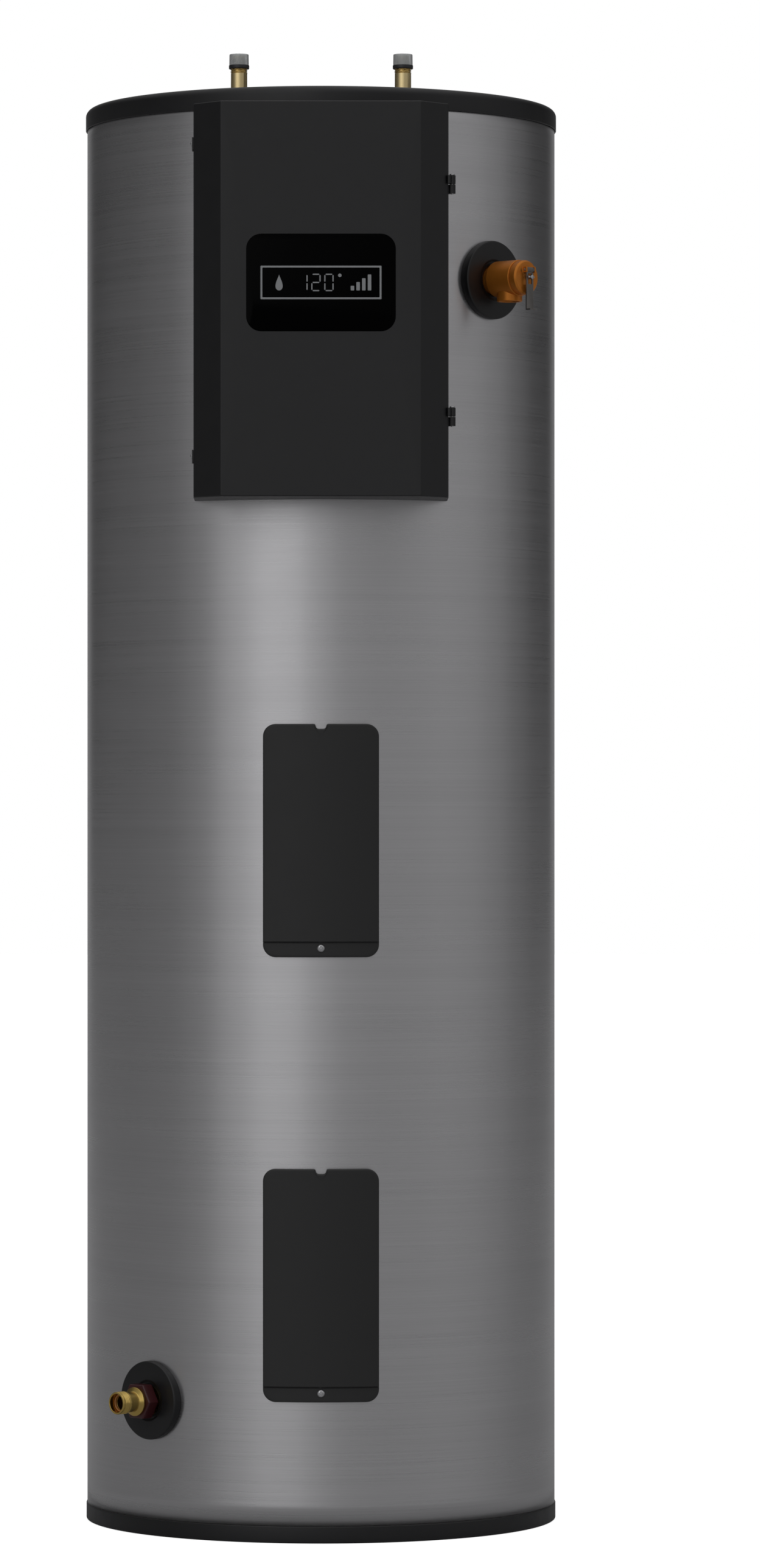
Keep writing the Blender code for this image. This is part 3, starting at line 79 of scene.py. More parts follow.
# Water connections and the cable inlet
NIPPLE_X, NIPPLE_RADIUS, NIPPLE_BORE = 0.1025, 0.01065, 0.008
NIPPLE_LOW, NIPPLE_TOP, NIPPLE_THREAD_LOW = 1.678, 1.8265, 1.8045
SLEEVE_LOW, SLEEVE_TOP, SLEEVE_BORE = 1.8103, 1.8285, 0.0111
INLET_Y = -0.235

# Control box
BOX_LOW, BOX_HIGH, BOX_SIDE, BOX_FACE = 1.258, 1.730, 0.1528, 0.120
BOX_FRONT, BOX_SHOULDER, BOX_SPLIT, BOX_WALL = 0.367, 0.3335, 0.330, 0.002
BACK_PLATE = 0.2955
WINDOW = (0.178, 0.116, 0.018)
WINDOW_HEIGHT = 1.513
LENS_FRONT = 0.3674
HINGE_X = 0.1574
HINGES = {"upper": 1.6335, "lower": 1.355}
TABS = {"upper": 1.682, "lower": 1.3075}

# Pockets and covers
POCKETS = {"upper": 0.847, "lower": 0.311}
OPENING = (0.104, 0.236)
COVER = (0.140, 0.281, 0.015)
COVER_PROUD, FOOT_PROUD, FOOT_HEIGHT = 0.008, 0.005, 0.018
NOTCH = (0.013, 0.006)
STEP_WIDTH = 0.0025
COVER_SCREW_RISE = 0.011

# Valves
VALVE_AZIMUTH = math.radians(45)
RELIEF_HEIGHT, DRAIN_HEIGHT = 1.529, 0.165
VALVE_HOLE = 0.019
ESCUTCHEON = (0.0185, 0.0478, 0.007)
COLLAR_RADIUS, COLLAR_BORE = 0.0235, 0.0143
NOSE_RADIUS, NOSE_MOUTH = 0.0138, 0.0113

BODY_OF = {
    node: body for body, nodes in frame["record"]["behaviour"]["bodies"].items() for node in nodes
}


# Shapes in numbers


def filleted(corners, steps=5):
    """A closed polygon of (u, v, fillet radius) with every corner replaced by the arc tangent to its sides.

    The arc's centre is on the corner's bisector, at radius / sin(half the corner's angle). Each point is
    the centre plus the two end radii weighted by sin((1 - s) w) / sin w and sin(s w) / sin w, where w is
    the arc's sweep.
    """
    corners = np.asarray(corners, float)
    at, radius = corners[:, :2], corners[:, 2:]
    before, after = np.roll(at, 1, 0) - at, np.roll(at, -1, 0) - at
    before /= np.linalg.norm(before, axis=1, keepdims=True)
    after /= np.linalg.norm(after, axis=1, keepdims=True)
    angle = np.arccos(np.clip((before * after).sum(1, keepdims=True), -1, 1))
    bisector = before + after
    bisector /= np.maximum(np.linalg.norm(bisector, axis=1, keepdims=True), 1e-9)
    centre = at + bisector * radius / np.sin(angle / 2)
    reach = radius / np.tan(angle / 2)
    first, last = at + before * reach - centre, at + after * reach - centre
    sweep = np.maximum(math.pi - angle, 1e-6)[:, :, None]
    s = np.linspace(0, 1, steps + 1)[None, :, None]
    weights = np.sin((1 - s) * sweep) / np.sin(sweep), np.sin(s * sweep) / np.sin(sweep)
    points = centre[:, None] + weights[0] * first[:, None] + weights[1] * last[:, None]
    return points.reshape(-1, 2)


def rectangle(width, height, radius, centre=(0, 0), steps=8):
    """Rounded rectangle, anticlockwise from its lower right corner."""
    u, v = width / 2, height / 2
    corners = [(u, -v, radius), (u, v, radius), (-u, v, radius), (-u, -v, radius)]
    return filleted(corners, steps) + np.asarray(centre)


def outward(azimuth, height=0.0):
    """Frame at an azimuth whose axes point sideways, up and away from the tank."""
    c, s = math.cos(azimuth), math.sin(azimuth)
    return np.array([[c, 0, s, 0], [s, 0, -c, 0], [0, 1, 0, height], [0, 0, 0, 1.0]])


def standing(x, y, z=0.0):
    """Frame that stands upright at a place."""
    made = np.eye(4)
    made[:3, 3] = x, y, z
    return made


def on_front(x, z):
    """Frame at the front whose third axis is the depth."""
    made = outward(0.0, z)
    made[0, 3] = x
    return made


def sideways(x, y, z, sign=1):
    """Frame whose third axis points along X, to the right with sign 1 and to the left with -1."""
    return np.array([[0, 0, sign, x], [sign, 0, 0, y], [0, 1, 0, z], [0, 0, 0, 1.0]])


def placed(grid, place):
    """Points carried into a frame: the frame's axes weighted by the coordinates, plus its origin."""
    return grid @ place[:3, :3].T + place[:3, 3]


def turned(profile, count=96, place=None, thread=None):
    """A profile of (radius, height) turned about an axis: (r cos a, r sin a, h).

    A thread of (pitch, depth, low, high) lowers the radius between two heights by
    depth (1 - cos(TAU (h / pitch - a / TAU))) / 2, faded out over a pitch at both ends.
    """
    profile = np.asarray(profile, float)
    angle = TAU * np.arange(count) / count
    radius = np.repeat(profile[:, :1], count, axis=1)
    height = np.repeat(profile[:, 1:], count, axis=1)
    if thread:
        pitch, depth, low, high = thread
        fade = np.clip((height - low) / pitch, 0, 1) * np.clip((high - height) / pitch, 0, 1)
        threaded = radius > 0.98 * profile[:, 0].max()
        radius = radius - threaded * fade * depth * (1 - np.cos(TAU * height / pitch - angle)) / 2
    grid = np.stack([radius * np.cos(angle), radius * np.sin(angle), height], axis=-1)
    return grid if place is None else placed(grid, place)


def carried(outline, heights, insets, place):
    """An outline of (u, v) at several heights, drawn in along its inward normal by an inset at each."""
    ahead, behind = np.roll(outline, -1, 0), np.roll(outline, 1, 0)
    along = ahead - behind
    along /= np.maximum(np.linalg.norm(along, axis=1, keepdims=True), 1e-9)
    inward = np.stack([-along[:, 1], along[:, 0]], axis=-1)
    rows = [
        np.column_stack([outline + inward * inset, np.full(len(outline), height)])
        for height, inset in zip(heights, insets)
    ]
    return placed(np.stack(rows), place)


def rounded_ends(low, high, radius, steps=4):
    """Heights and insets that round both ends: h = r (1 - cos p) and inset = r (1 - sin p) from each end."""
    p = np.linspace(0, math.pi / 2, steps + 1)
    rise, inset = radius * (1 - np.cos(p)), radius * (1 - np.sin(p))
    return np.concatenate([low + rise, (high - rise)[::-1]]), np.concatenate([inset, inset[::-1]])


def block(low, high, radius=0.0006, steps=3):
    """A block with rounded edges: a rounded rectangle that shrinks as it nears each end."""
    low, high = np.asarray(low, float), np.asarray(high, float)
    radius = min(radius, 0.49 * (high - low).min())
    size, centre = high - low, (low + high) / 2
    outline = rectangle(size[0], size[1], radius * 1.001, steps=steps)
    heights, insets = rounded_ends(-size[2] / 2, size[2] / 2, radius, steps)
    rows = []
    for height, inset in zip(heights, insets):
        flat = rectangle(size[0] - 2 * inset, size[1] - 2 * inset, max(radius - inset, 1e-6), steps=steps)
        rows.append(np.column_stack([flat, np.full(len(outline), height)]))
    return np.stack(rows) + centre


def solid_block(low, high, radius=0.0006):
    """A rounded block as one closed surface of a piece."""
    return skin(block(low, high, radius), ends=True)


def smooth_path(points, count=48):
    """Points on the spline through some others, each stretch a cubic that leans towards its neighbours."""
    points = np.asarray(points, float)
    padded = np.vstack([2 * points[0] - points[1], points, 2 * points[-1] - points[-2]])
    t = np.linspace(0, len(points) - 1 - 1e-9, count)
    k = t.astype(int)
    s = (t - k)[:, None]
    a, b, c, d = padded[k], padded[k + 1], padded[k + 2], padded[k + 3]
    return 0.5 * (
        2 * b + (c - a) * s + (2 * a - 5 * b + 4 * c - d) * s**2 + (3 * b - a - 3 * c + d) * s**3
    )


def hose(path, radius, sides=12):
    """A round section carried along a path, on axes square to the path's direction."""
    path = np.asarray(path, float)
    along = np.gradient(path, axis=0)
    along /= np.linalg.norm(along, axis=1, keepdims=True)
    spread = np.ptp(path, axis=0)
    across = np.cross(along, np.eye(3)[int(np.argmin(spread))])
    across /= np.maximum(np.linalg.norm(across, axis=1, keepdims=True), 1e-9)
    other = np.cross(along, across)
    angle = TAU * np.arange(sides) / sides
    ring = np.cos(angle)[None, :, None] * across[:, None] + np.sin(angle)[None, :, None] * other[:, None]
    return path[:, None] + radius * ring


# Making meshes


def skin(grid, rows_closed=False, columns_closed=True, ends=False, finish=0, keep=None):
    """One surface of a piece: its grid, how it closes, the finish it takes and which cells it keeps."""
    return {
        "grid": np.asarray(grid, float),
        "closed": (rows_closed, columns_closed),
        "ends": ends,
        "finish": finish,
        "keep": keep,
    }


def cells(rows, columns, rows_closed, columns_closed):
    """The four corner numbers of each cell of a grid."""
    i, j = np.meshgrid(
        np.arange(rows if rows_closed else rows - 1),
        np.arange(columns if columns_closed else columns - 1),
        indexing="ij",
    )
    down, right = (i + 1) % rows, (j + 1) % columns
    return np.stack(
        [i * columns + j, i * columns + right, down * columns + right, down * columns + j], axis=-1
    )


def piece(name, skins, body, finishes, replaces=(), crisp=35, solid=True):
    """A piece from its surfaces, facing out, with its finishes, riding on a body."""
    points, faces, indices, start = [], [], [], 0
    for part in skins:
        rows, columns = part["grid"].shape[:2]
        quads = cells(rows, columns, *part["closed"])
        quads = quads.reshape(-1, 4) if part["keep"] is None else quads[part["keep"]]
        made = (quads + start).tolist()
        if part["ends"]:
            made += [list(range(start, start + columns))[::-1]]
            made += [list(range(start + (rows - 1) * columns, start + rows * columns))]
        faces += made
        indices += [part["finish"]] * len(made)
        points.append(part["grid"].reshape(-1, 3))
        start += rows * columns
    mesh = bpy.data.meshes.new(name)
    mesh.from_pydata(np.concatenate(points).tolist(), [], faces)
    mesh.polygons.foreach_set("material_index", indices)
    tidy(mesh, solid, crisp)
    return add(name, mesh, body, finishes, replaces)


def tidy(mesh, solid=True, crisp=35):
    """Merges doubles, turns the faces of a solid outwards, and shades smooth up to an angle."""
    shape = bmesh.new()
    shape.from_mesh(mesh)
    bmesh.ops.remove_doubles(shape, verts=shape.verts, dist=2e-6)
    bmesh.ops.dissolve_degenerate(shape, dist=1e-7, edges=shape.edges)
    if solid:
        bmesh.ops.recalc_face_normals(shape, faces=shape.faces)
    shape.to_mesh(mesh)
    shape.free()
    mesh.shade_smooth()
    mesh.set_sharp_from_angle(angle=math.radians(crisp))


def add(name, mesh, body, finishes, replaces=()):
    for finish in finishes:
        mesh.materials.append(finish)
    obj = bpy.data.objects.new(name, mesh)
    bpy.context.scene.collection.objects.link(obj)
    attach(obj, body)
    if replaces:
        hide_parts(*replaces)
    return obj


def round_edges(obj, width, segments=2, angle=30):
    bevel = obj.modifiers.new("rounded edges", "BEVEL")
    bevel.width = width
    bevel.segments = segments
    bevel.limit_method = "ANGLE"
    bevel.angle_limit = math.radians(angle)
    bevel.harden_normals = True
    return obj


def flat_shading(obj):
    """Gives each corner the normal of the largest faces round it, so that flat faces look flat."""
    shading = obj.modifiers.new("flat faces", "WEIGHTED_NORMAL")
    shading.keep_sharp = True
    shading.weight = 100
    return obj


def thicken(obj, thickness):
    wall = obj.modifiers.new("wall", "SOLIDIFY")
    wall.thickness = thickness
    wall.offset = -1
    wall.use_even_offset = True
    return obj


def refined(node, finish, edge=0.0004, segments=2, crisp=35):
    """A merged copy of a CAD node with rounded edges, in the node's place."""
    source = frame["nodes"][node]
    mesh = source.data.copy()
    mesh.materials.clear()
    mesh.name = f"finished_{node}"
    tidy(mesh, solid=False, crisp=crisp)
    obj = add(f"finished_{node}", mesh, BODY_OF[node], [finish], [node])
    return round_edges(obj, edge, segments) if edge else obj


def dress(finish, *nodes):
    """A better material on CAD nodes whose shape is right."""
    for node in nodes:
        for material_slot in frame["nodes"][node].material_slots:
            material_slot.material = finish


# Shader node groups


def node_group(name, inputs, outputs):
    group = bpy.data.node_groups.new(name, "ShaderNodeTree")
    for label, kind, value in inputs:
        made = group.interface.new_socket(name=label, in_out="INPUT", socket_type=kind)
        if value is not None:
            made.default_value = value
    for label, kind in outputs:
        group.interface.new_socket(name=label, in_out="OUTPUT", socket_type=kind)
    return group, group.nodes.new("NodeGroupInput"), group.nodes.new("NodeGroupOutput")


def math_node(tree, operation, first, second=None, third=None, clamp=False):
    node = tree.nodes.new("ShaderNodeMath")
    node.operation = operation
    node.use_clamp = clamp
    for socket, value in zip(node.inputs, (first, second, third)):
        if isinstance(value, bpy.types.NodeSocket):
            tree.links.new(value, socket)
        elif value is not None:
            socket.default_value = value
    return node.outputs[0]


def noise_node(tree, vector, scale, detail=3.0, roughness=0.5):
    node = tree.nodes.new("ShaderNodeTexNoise")
    node.inputs["Detail"].default_value = detail
    node.inputs["Roughness"].default_value = roughness
    tree.links.new(vector, node.inputs["Vector"])
    if isinstance(scale, bpy.types.NodeSocket):
        tree.links.new(scale, node.inputs["Scale"])
    else:
        node.inputs["Scale"].default_value = scale
    return node.outputs[0]


def make_grain_group():
    """Fine moulded or cast grain, and broad cloudiness thirty times as large."""
    group, given, made = node_group(
        "surface grain",
        [("Vector", "NodeSocketVector", None), ("Scale", "NodeSocketFloat", 1500.0)],
        [("Fine", "NodeSocketFloat"), ("Broad", "NodeSocketFloat"), ("Height", "NodeSocketFloat")],
    )
    fine = noise_node(group, given.outputs["Vector"], given.outputs["Scale"], 2.0)
    coarse = math_node(group, "MULTIPLY", given.outputs["Scale"], 0.033)
    broad = noise_node(group, given.outputs["Vector"], coarse, 4.0, 0.6)
    group.links.new(fine, made.inputs["Fine"])
    group.links.new(broad, made.inputs["Broad"])
    group.links.new(math_node(group, "MULTIPLY_ADD", broad, 0.35, fine), made.inputs["Height"])
    return group


def make_wear_group():
    """Where an edge is rubbed: one minus the cosine between the true normal and the rounded one."""
    group, given, made = node_group(
        "edge wear",
        [
            ("Vector", "NodeSocketVector", None),
            ("Radius", "NodeSocketFloat", 0.0012),
            ("Strength", "NodeSocketFloat", 5.0),
        ],
        [("Mask", "NodeSocketFloat")],
    )
    rounded = group.nodes.new("ShaderNodeBevel")
    rounded.samples = 4
    group.links.new(given.outputs["Radius"], rounded.inputs["Radius"])
    surface = group.nodes.new("ShaderNodeNewGeometry")
    dot = group.nodes.new("ShaderNodeVectorMath")
    dot.operation = "DOT_PRODUCT"
    group.links.new(rounded.outputs[0], dot.inputs[0])
    group.links.new(surface.outputs["Normal"], dot.inputs[1])
    bend = math_node(group, "SUBTRACT", 1.0, dot.outputs["Value"])
    strong = math_node(group, "MULTIPLY", bend, given.outputs["Strength"], clamp=True)
    patches = noise_node(group, given.outputs["Vector"], 90.0, 4.0, 0.6)
    patches = math_node(group, "MULTIPLY_ADD", patches, 2.4, -0.7, clamp=True)
    group.links.new(math_node(group, "MULTIPLY", strong, patches, clamp=True), made.inputs["Mask"])
    return group


def make_dust_group():
    """Dust that settles on what faces up: the normal's height to a power, broken up by noise."""
    group, given, made = node_group(
        "settled dust",
        [("Vector", "NodeSocketVector", None), ("Amount", "NodeSocketFloat", 0.2)],
        [("Mask", "NodeSocketFloat")],
    )
    surface = group.nodes.new("ShaderNodeNewGeometry")
    split = group.nodes.new("ShaderNodeSeparateXYZ")
    group.links.new(surface.outputs["Normal"], split.inputs[0])
    up = math_node(group, "POWER", math_node(group, "MAXIMUM", split.outputs["Z"], 0.0), 3.0)
    specks = noise_node(group, given.outputs["Vector"], 55.0, 6.0, 0.65)
    specks = math_node(group, "MULTIPLY_ADD", specks, 1.8, -0.4, clamp=True)
    settled = math_node(group, "MULTIPLY", up, specks)
    group.links.new(
        math_node(group, "MULTIPLY", settled, given.outputs["Amount"], clamp=True), made.inputs["Mask"]
    )
    return group


def make_brushing_group():
    """Scratches that run round the upright axis: noise stretched by a stated length over a stated width."""
    group, given, made = node_group(
        "brushing",
        [
            ("Vector", "NodeSocketVector", None),
            ("Round", "NodeSocketFloat", 2.5),
            ("Across", "NodeSocketFloat", 900.0),
        ],
        [("Scratch", "NodeSocketFloat"), ("Band", "NodeSocketFloat"), ("Cloud", "NodeSocketFloat")],
    )
    split = group.nodes.new("ShaderNodeSeparateXYZ")
    group.links.new(given.outputs["Vector"], split.inputs[0])

    def stretched(round_factor, across_factor):
        joined = group.nodes.new("ShaderNodeCombineXYZ")
        wide = math_node(group, "MULTIPLY", given.outputs["Round"], round_factor)
        tight = math_node(group, "MULTIPLY", given.outputs["Across"], across_factor)
        for axis, factor in (("X", wide), ("Y", wide), ("Z", tight)):
            group.links.new(math_node(group, "MULTIPLY", split.outputs[axis], factor), joined.inputs[axis])
        return joined.outputs[0]

    group.links.new(noise_node(group, stretched(1.0, 1.0), 1.0, 3.0, 0.6), made.inputs["Scratch"])
    group.links.new(noise_node(group, stretched(0.5, 0.06), 1.0, 3.0, 0.55), made.inputs["Band"])
    group.links.new(noise_node(group, stretched(1.2, 0.02), 1.0, 4.0, 0.6), made.inputs["Cloud"])
    return group


def group_node(tree, name, vector, **values):
    node = tree.nodes.new("ShaderNodeGroup")
    node.node_tree = bpy.data.node_groups[name]
    tree.links.new(vector, node.inputs["Vector"])
    for label, value in values.items():
        node.inputs[label].default_value = value
    return node


def mixed(tree, factor, first, second):
    node = tree.nodes.new("ShaderNodeMix")
    node.data_type = "RGBA"
    for socket, value in zip((node.inputs[0], node.inputs[6], node.inputs[7]), (factor, first, second)):
        if isinstance(value, bpy.types.NodeSocket):
            tree.links.new(value, socket)
        else:
            socket.default_value = value if isinstance(value, float) else (*value[:3], 1)
    return node.outputs[2]


def scaled(color, factor):
    return tuple(min(1.0, c * factor) for c in color[:3])


def bumped(tree, height, distance, strength=1.0):
    bump = tree.nodes.new("ShaderNodeBump")
    bump.inputs["Strength"].default_value = strength
    bump.inputs["Distance"].default_value = distance
    tree.links.new(height, bump.inputs["Height"])
    return bump.outputs[0]


def new_material(name, roughness, metallic, **sockets):
    material = bpy.data.materials.new(name)
    material.use_nodes = True
    tree = material.node_tree
    shader = tree.nodes["Principled BSDF"]
    shader.inputs["Roughness"].default_value = roughness
    shader.inputs["Metallic"].default_value = metallic
    for label, value in sockets.items():
        shader.inputs[label.replace("_", " ")].default_value = value
    place = tree.nodes.new("ShaderNodeTexCoord").outputs["Object"]
    return material, tree, shader, place


def grained(
    name, color, roughness, metallic=0.0, scale=1500.0, depth=0.00002, cloud=0.12, worn=None,
    wear=0.0, radius=0.0012, dust=0.0, uneven=0.08, **sockets
):
    """A moulded, cast, plated or painted finish: grain, cloudy colour, rubbed edges and settled dust."""
    material, tree, shader, place = new_material(name, roughness, metallic, **sockets)
    grain = group_node(tree, "surface grain", place, Scale=scale)
    base = mixed(tree, grain.outputs["Broad"], scaled(color, 1 - cloud), scaled(color, 1 + cloud))
    rough = math_node(tree, "MULTIPLY_ADD", grain.outputs["Broad"], 2 * uneven, roughness - uneven)
    if wear:
        edge = group_node(tree, "edge wear", place, Radius=radius)
        amount = math_node(tree, "MULTIPLY", edge.outputs["Mask"], wear)
        base = mixed(tree, amount, base, worn or scaled(color, 2.5))
    if dust:
        settled = group_node(tree, "settled dust", place, Amount=dust)
        base = mixed(tree, settled.outputs["Mask"], base, (0.42, 0.40, 0.37))
        rough = math_node(tree, "MAXIMUM", rough, settled.outputs["Mask"])
    tree.links.new(base, shader.inputs["Base Color"])
    tree.links.new(rough, shader.inputs["Roughness"])
    tree.links.new(bumped(tree, grain.outputs["Height"], depth), shader.inputs["Normal"])
    return material


def brushed_steel(name, color, roughness):
    """Satin steel brushed round the tank, so its gloss spreads upright: fine scratches and soft bands."""
    material, tree, shader, place = new_material(
        name, roughness, 1.0, Anisotropic=0.7, Anisotropic_Rotation=0.25
    )
    tangent = tree.nodes.new("ShaderNodeTangent")
    tangent.direction_type = "RADIAL"
    tangent.axis = "Z"
    tree.links.new(tangent.outputs[0], shader.inputs["Tangent"])
    brush = group_node(tree, "brushing", place)
    base = mixed(tree, brush.outputs["Band"], scaled(color, 0.90), scaled(color, 1.10))
    streaked = mixed(tree, brush.outputs["Scratch"], scaled(color, 0.80), scaled(color, 1.20))
    base = mixed(tree, 0.5, base, streaked)
    rough = math_node(tree, "MULTIPLY_ADD", brush.outputs["Scratch"], 0.16, roughness - 0.08)
    rough = math_node(tree, "SUBTRACT", rough, 0.06)
    rough = math_node(tree, "MULTIPLY_ADD", brush.outputs["Cloud"], 0.12, rough)
    relief = math_node(tree, "MULTIPLY_ADD", brush.outputs["Cloud"], 6.0, brush.outputs["Scratch"])
    tree.links.new(base, shader.inputs["Base Color"])
    tree.links.new(rough, shader.inputs["Roughness"])
    tree.links.new(bumped(tree, relief, 0.00002), shader.inputs["Normal"])
    return material


def sheathed(name, colors, period):
    """Wire sheath in bands of two colours along Z, such as a marked lead's tracer."""
    material, tree, shader, place = new_material(name, 0.45, 0.0)
    grain = group_node(tree, "surface grain", place, Scale=2500.0)
    tone = mixed(tree, grain.outputs["Broad"], scaled(colors[0], 0.85), scaled(colors[0], 1.15))
    split = tree.nodes.new("ShaderNodeSeparateXYZ")
    tree.links.new(place, split.inputs[0])
    wave = math_node(tree, "SINE", math_node(tree, "MULTIPLY", split.outputs["Z"], TAU / period))
    base = mixed(tree, math_node(tree, "GREATER_THAN", wave, 0.97), tone, colors[1])
    tree.links.new(base, shader.inputs["Base Color"])
    tree.links.new(bumped(tree, grain.outputs["Height"], 0.00001), shader.inputs["Normal"])
    return material


FINISH = {}


def make_finishes(colors):
    for make in (make_grain_group, make_wear_group, make_dust_group, make_brushing_group):
        make()
    shell, cover = tuple(colors.shell), tuple(colors.cover)
    FINISH.update(
        steel=brushed_steel("brushed stainless", tuple(colors.steel), 0.30),
        shell=grained("shell plastic", shell, 0.42, scale=1400, wear=0.30, dust=0.10, cloud=0.15),
        cover=grained("cover plastic", cover, 0.50, scale=1100, wear=0.25, dust=0.08, cloud=0.10),
        collar=grained("collar plastic", tuple(colors.collar), 0.32, scale=900, wear=0.35, radius=0.001),
        lens=grained(
            "window gloss", (0.0006, 0.0006, 0.0007), 0.10, scale=200, depth=0.0, cloud=0.3, uneven=0.03,
            Specular_IOR_Level=0.03,
        ),
        print=grained("printed grey", (0.30, 0.31, 0.32), 0.45, scale=3000, depth=0.000004, cloud=0.08),
        brass=grained(
            "machined brass", tuple(colors.brass), 0.26, 1.0, scale=700, depth=0.000012, cloud=0.18,
            wear=0.6, worn=(0.86, 0.68, 0.38), radius=0.0008, uneven=0.08,
        ),
        yellow=grained(
            "drain brass", (0.62, 0.44, 0.13), 0.24, 1.0, scale=700, depth=0.000012, cloud=0.2,
            wear=0.6, worn=(0.9, 0.74, 0.40), radius=0.0008, uneven=0.07,
        ),
        bronze=grained(
            "cast bronze", tuple(colors.bronze), 0.40, 0.6, scale=620, depth=0.00006, cloud=0.28,
            wear=0.6, worn=(0.75, 0.36, 0.09), radius=0.0012, uneven=0.1,
        ),
        zinc=grained(
            "zinc plate", (0.56, 0.56, 0.57), 0.30, 1.0, scale=900, depth=0.00001, cloud=0.12,
            wear=0.5, worn=(0.75, 0.75, 0.76), radius=0.0006,
        ),
        lever=grained(
            "dull steel", (0.20, 0.19, 0.18), 0.38, 1.0, scale=900, depth=0.00001, cloud=0.2,
            wear=0.5, worn=(0.40, 0.39, 0.37), radius=0.0006,
        ),
        smoke=grained(
            "smoky sleeve", (0.72, 0.74, 0.73), 0.28, scale=900, depth=0.00001, cloud=0.12,
            Transmission_Weight=0.5, IOR=1.46,
        ),
        # Near-black ring colour that paints the shade at the foot of the thread sleeves.
        band=grained("sleeve lip painted shade", (0.02, 0.02, 0.022), 0.4, scale=900, cloud=0.2),
        amber=grained("amber rubber", tuple(colors.amber), 0.5, scale=1200, depth=0.00002, cloud=0.15),
        rubber=grained("black rubber", (0.014, 0.014, 0.014), 0.65, scale=1600, depth=0.00003, cloud=0.2),
        white=grained("natural plastic", (0.70, 0.69, 0.65), 0.42, scale=1300, wear=0.1, dust=0.05),
        bakelite=grained("phenolic", (0.028, 0.022, 0.020), 0.34, scale=1000, wear=0.3, cloud=0.25),
        foam=grained("rigid foam", (0.66, 0.52, 0.27), 0.9, scale=260, depth=0.0004, cloud=0.22),
        wool=grained("glass wool", (0.78, 0.62, 0.27), 0.95, scale=420, depth=0.0009, cloud=0.35),
        facing=grained("pad facing", (0.55, 0.55, 0.56), 0.45, 0.6, scale=240, depth=0.0003, cloud=0.15),
        tank=grained("enamelled steel", (0.07, 0.085, 0.13), 0.35, scale=380, depth=0.00008, cloud=0.3),
        anode=grained("cast anode", (0.42, 0.42, 0.44), 0.6, 1.0, scale=500, depth=0.00006, cloud=0.2),
        board=grained("circuit board", (0.012, 0.085, 0.035), 0.35, scale=600, depth=0.00002, cloud=0.3),
        copper=grained("tinned copper", (0.80, 0.78, 0.74), 0.3, 1.0, scale=900, depth=0.00001),
        red=grained("red plastic", (0.42, 0.02, 0.015), 0.35, scale=900, cloud=0.12, wear=0.2),
        blue=grained("blue plastic", (0.02, 0.07, 0.28), 0.35, scale=900, cloud=0.12, wear=0.2),
        red_wire=sheathed("red lead", ((0.40, 0.02, 0.015), (0.5, 0.5, 0.5)), 0.012),
        black_wire=sheathed("black lead", ((0.012, 0.012, 0.012), (0.4, 0.4, 0.4)), 0.016),
        yellow_wire=sheathed("yellow lead", ((0.65, 0.42, 0.02), (0.02, 0.25, 0.04)), 0.010),
    )


# Shell pieces


def make_jacket(sizes):
    """Sheet steel cylinder on lines of azimuth and height that pass through the edges of its openings.

    The radius is drawn in by depth exp(-(s / width)^2) at distance s from the seam behind. Round a
    round hole of radius a, a point at offset (u, v) is scaled by m / hypot(u, v) where m = max(|u|, |v|)
    is a, so the square of cells becomes the circle, and by less until m is 2 a.
    """
    half = math.asin(OPENING[0] / 2 / RADIUS)
    squares = [(0.0, z, half, OPENING[1] / 2) for z in POCKETS.values()]
    rounds = [
        (VALVE_AZIMUTH, RELIEF_HEIGHT, VALVE_HOLE),
        (-VALVE_AZIMUTH, DRAIN_HEIGHT, VALVE_HOLE),
        (math.asin(0.030 / RADIUS), 1.660, 0.009),
        (0.0, 1.695, 0.0111),
        *((0.0, z - COVER[1] / 2 + COVER_SCREW_RISE, 0.0025) for z in POCKETS.values()),
    ]
    near = np.array([-2, -1.5, -1, -0.5, 0, 0.5, 1, 1.5, 2])
    seam = np.array([0, 0.001, 0.002, 0.003, 0.006]) / RADIUS
    azimuths = [np.arange(-144, 144) * math.pi / 144, -math.pi + seam, math.pi - seam[1:]]
    heights = [np.linspace(JACKET_LOW, JACKET_HIGH, 70)]
    for azimuth, z, wide, tall in squares:
        azimuths.append(azimuth + np.array([-wide, wide]))
        heights.append(z + np.array([-tall, tall]))
    for azimuth, z, a in rounds:
        azimuths.append(azimuth + near * a / RADIUS)
        heights.append(z + near * a)
    azimuths = distinct(np.concatenate(azimuths), 1e-4)
    heights = distinct(np.concatenate(heights), 5e-5)
    theta, z = np.meshgrid(azimuths, heights)
    keep = np.ones((len(heights) - 1, len(azimuths)), bool)
    middle = theta + np.diff(azimuths, append=azimuths[0] + TAU) / 2
    middle, level = middle[:-1], (z[1:] + z[:-1]) / 2
    for azimuth, height, wide, tall in squares:
        keep &= ~((abs(middle - azimuth) < wide) & (abs(level - height) < tall))
    for azimuth, height, a in rounds:
        keep &= ~((abs(middle - azimuth) < a / RADIUS) & (abs(level - height) < a))
        u, v = (theta - azimuth) * RADIUS, z - height
        m, r = np.maximum(abs(u), abs(v)), np.maximum(np.hypot(u, v), 1e-9)
        factor = 1 + (m / r - 1) * np.clip(2 - m / a, 0, 1)
        theta, z = azimuth + u * factor / RADIUS, height + v * factor
    behind = (math.pi - abs(theta)) * RADIUS
    r = RADIUS - sizes.seam_depth * np.exp(-((behind / 0.0016) ** 2))
    grid = np.stack([r * np.sin(theta), -r * np.cos(theta), z], axis=-1)
    obj = piece(
        "jacket_sheet", [skin(grid, keep=keep)], "heater", [FINISH["steel"]], ["jacket"],
        solid=False,
    )
    thicken(obj, sizes.jacket_wall)


def distinct(values, gap):
    """Sorted values without those that are nearer than a gap to the one before."""
    values = np.sort(values)
    return values[np.concatenate([[True], np.diff(values) > gap])]


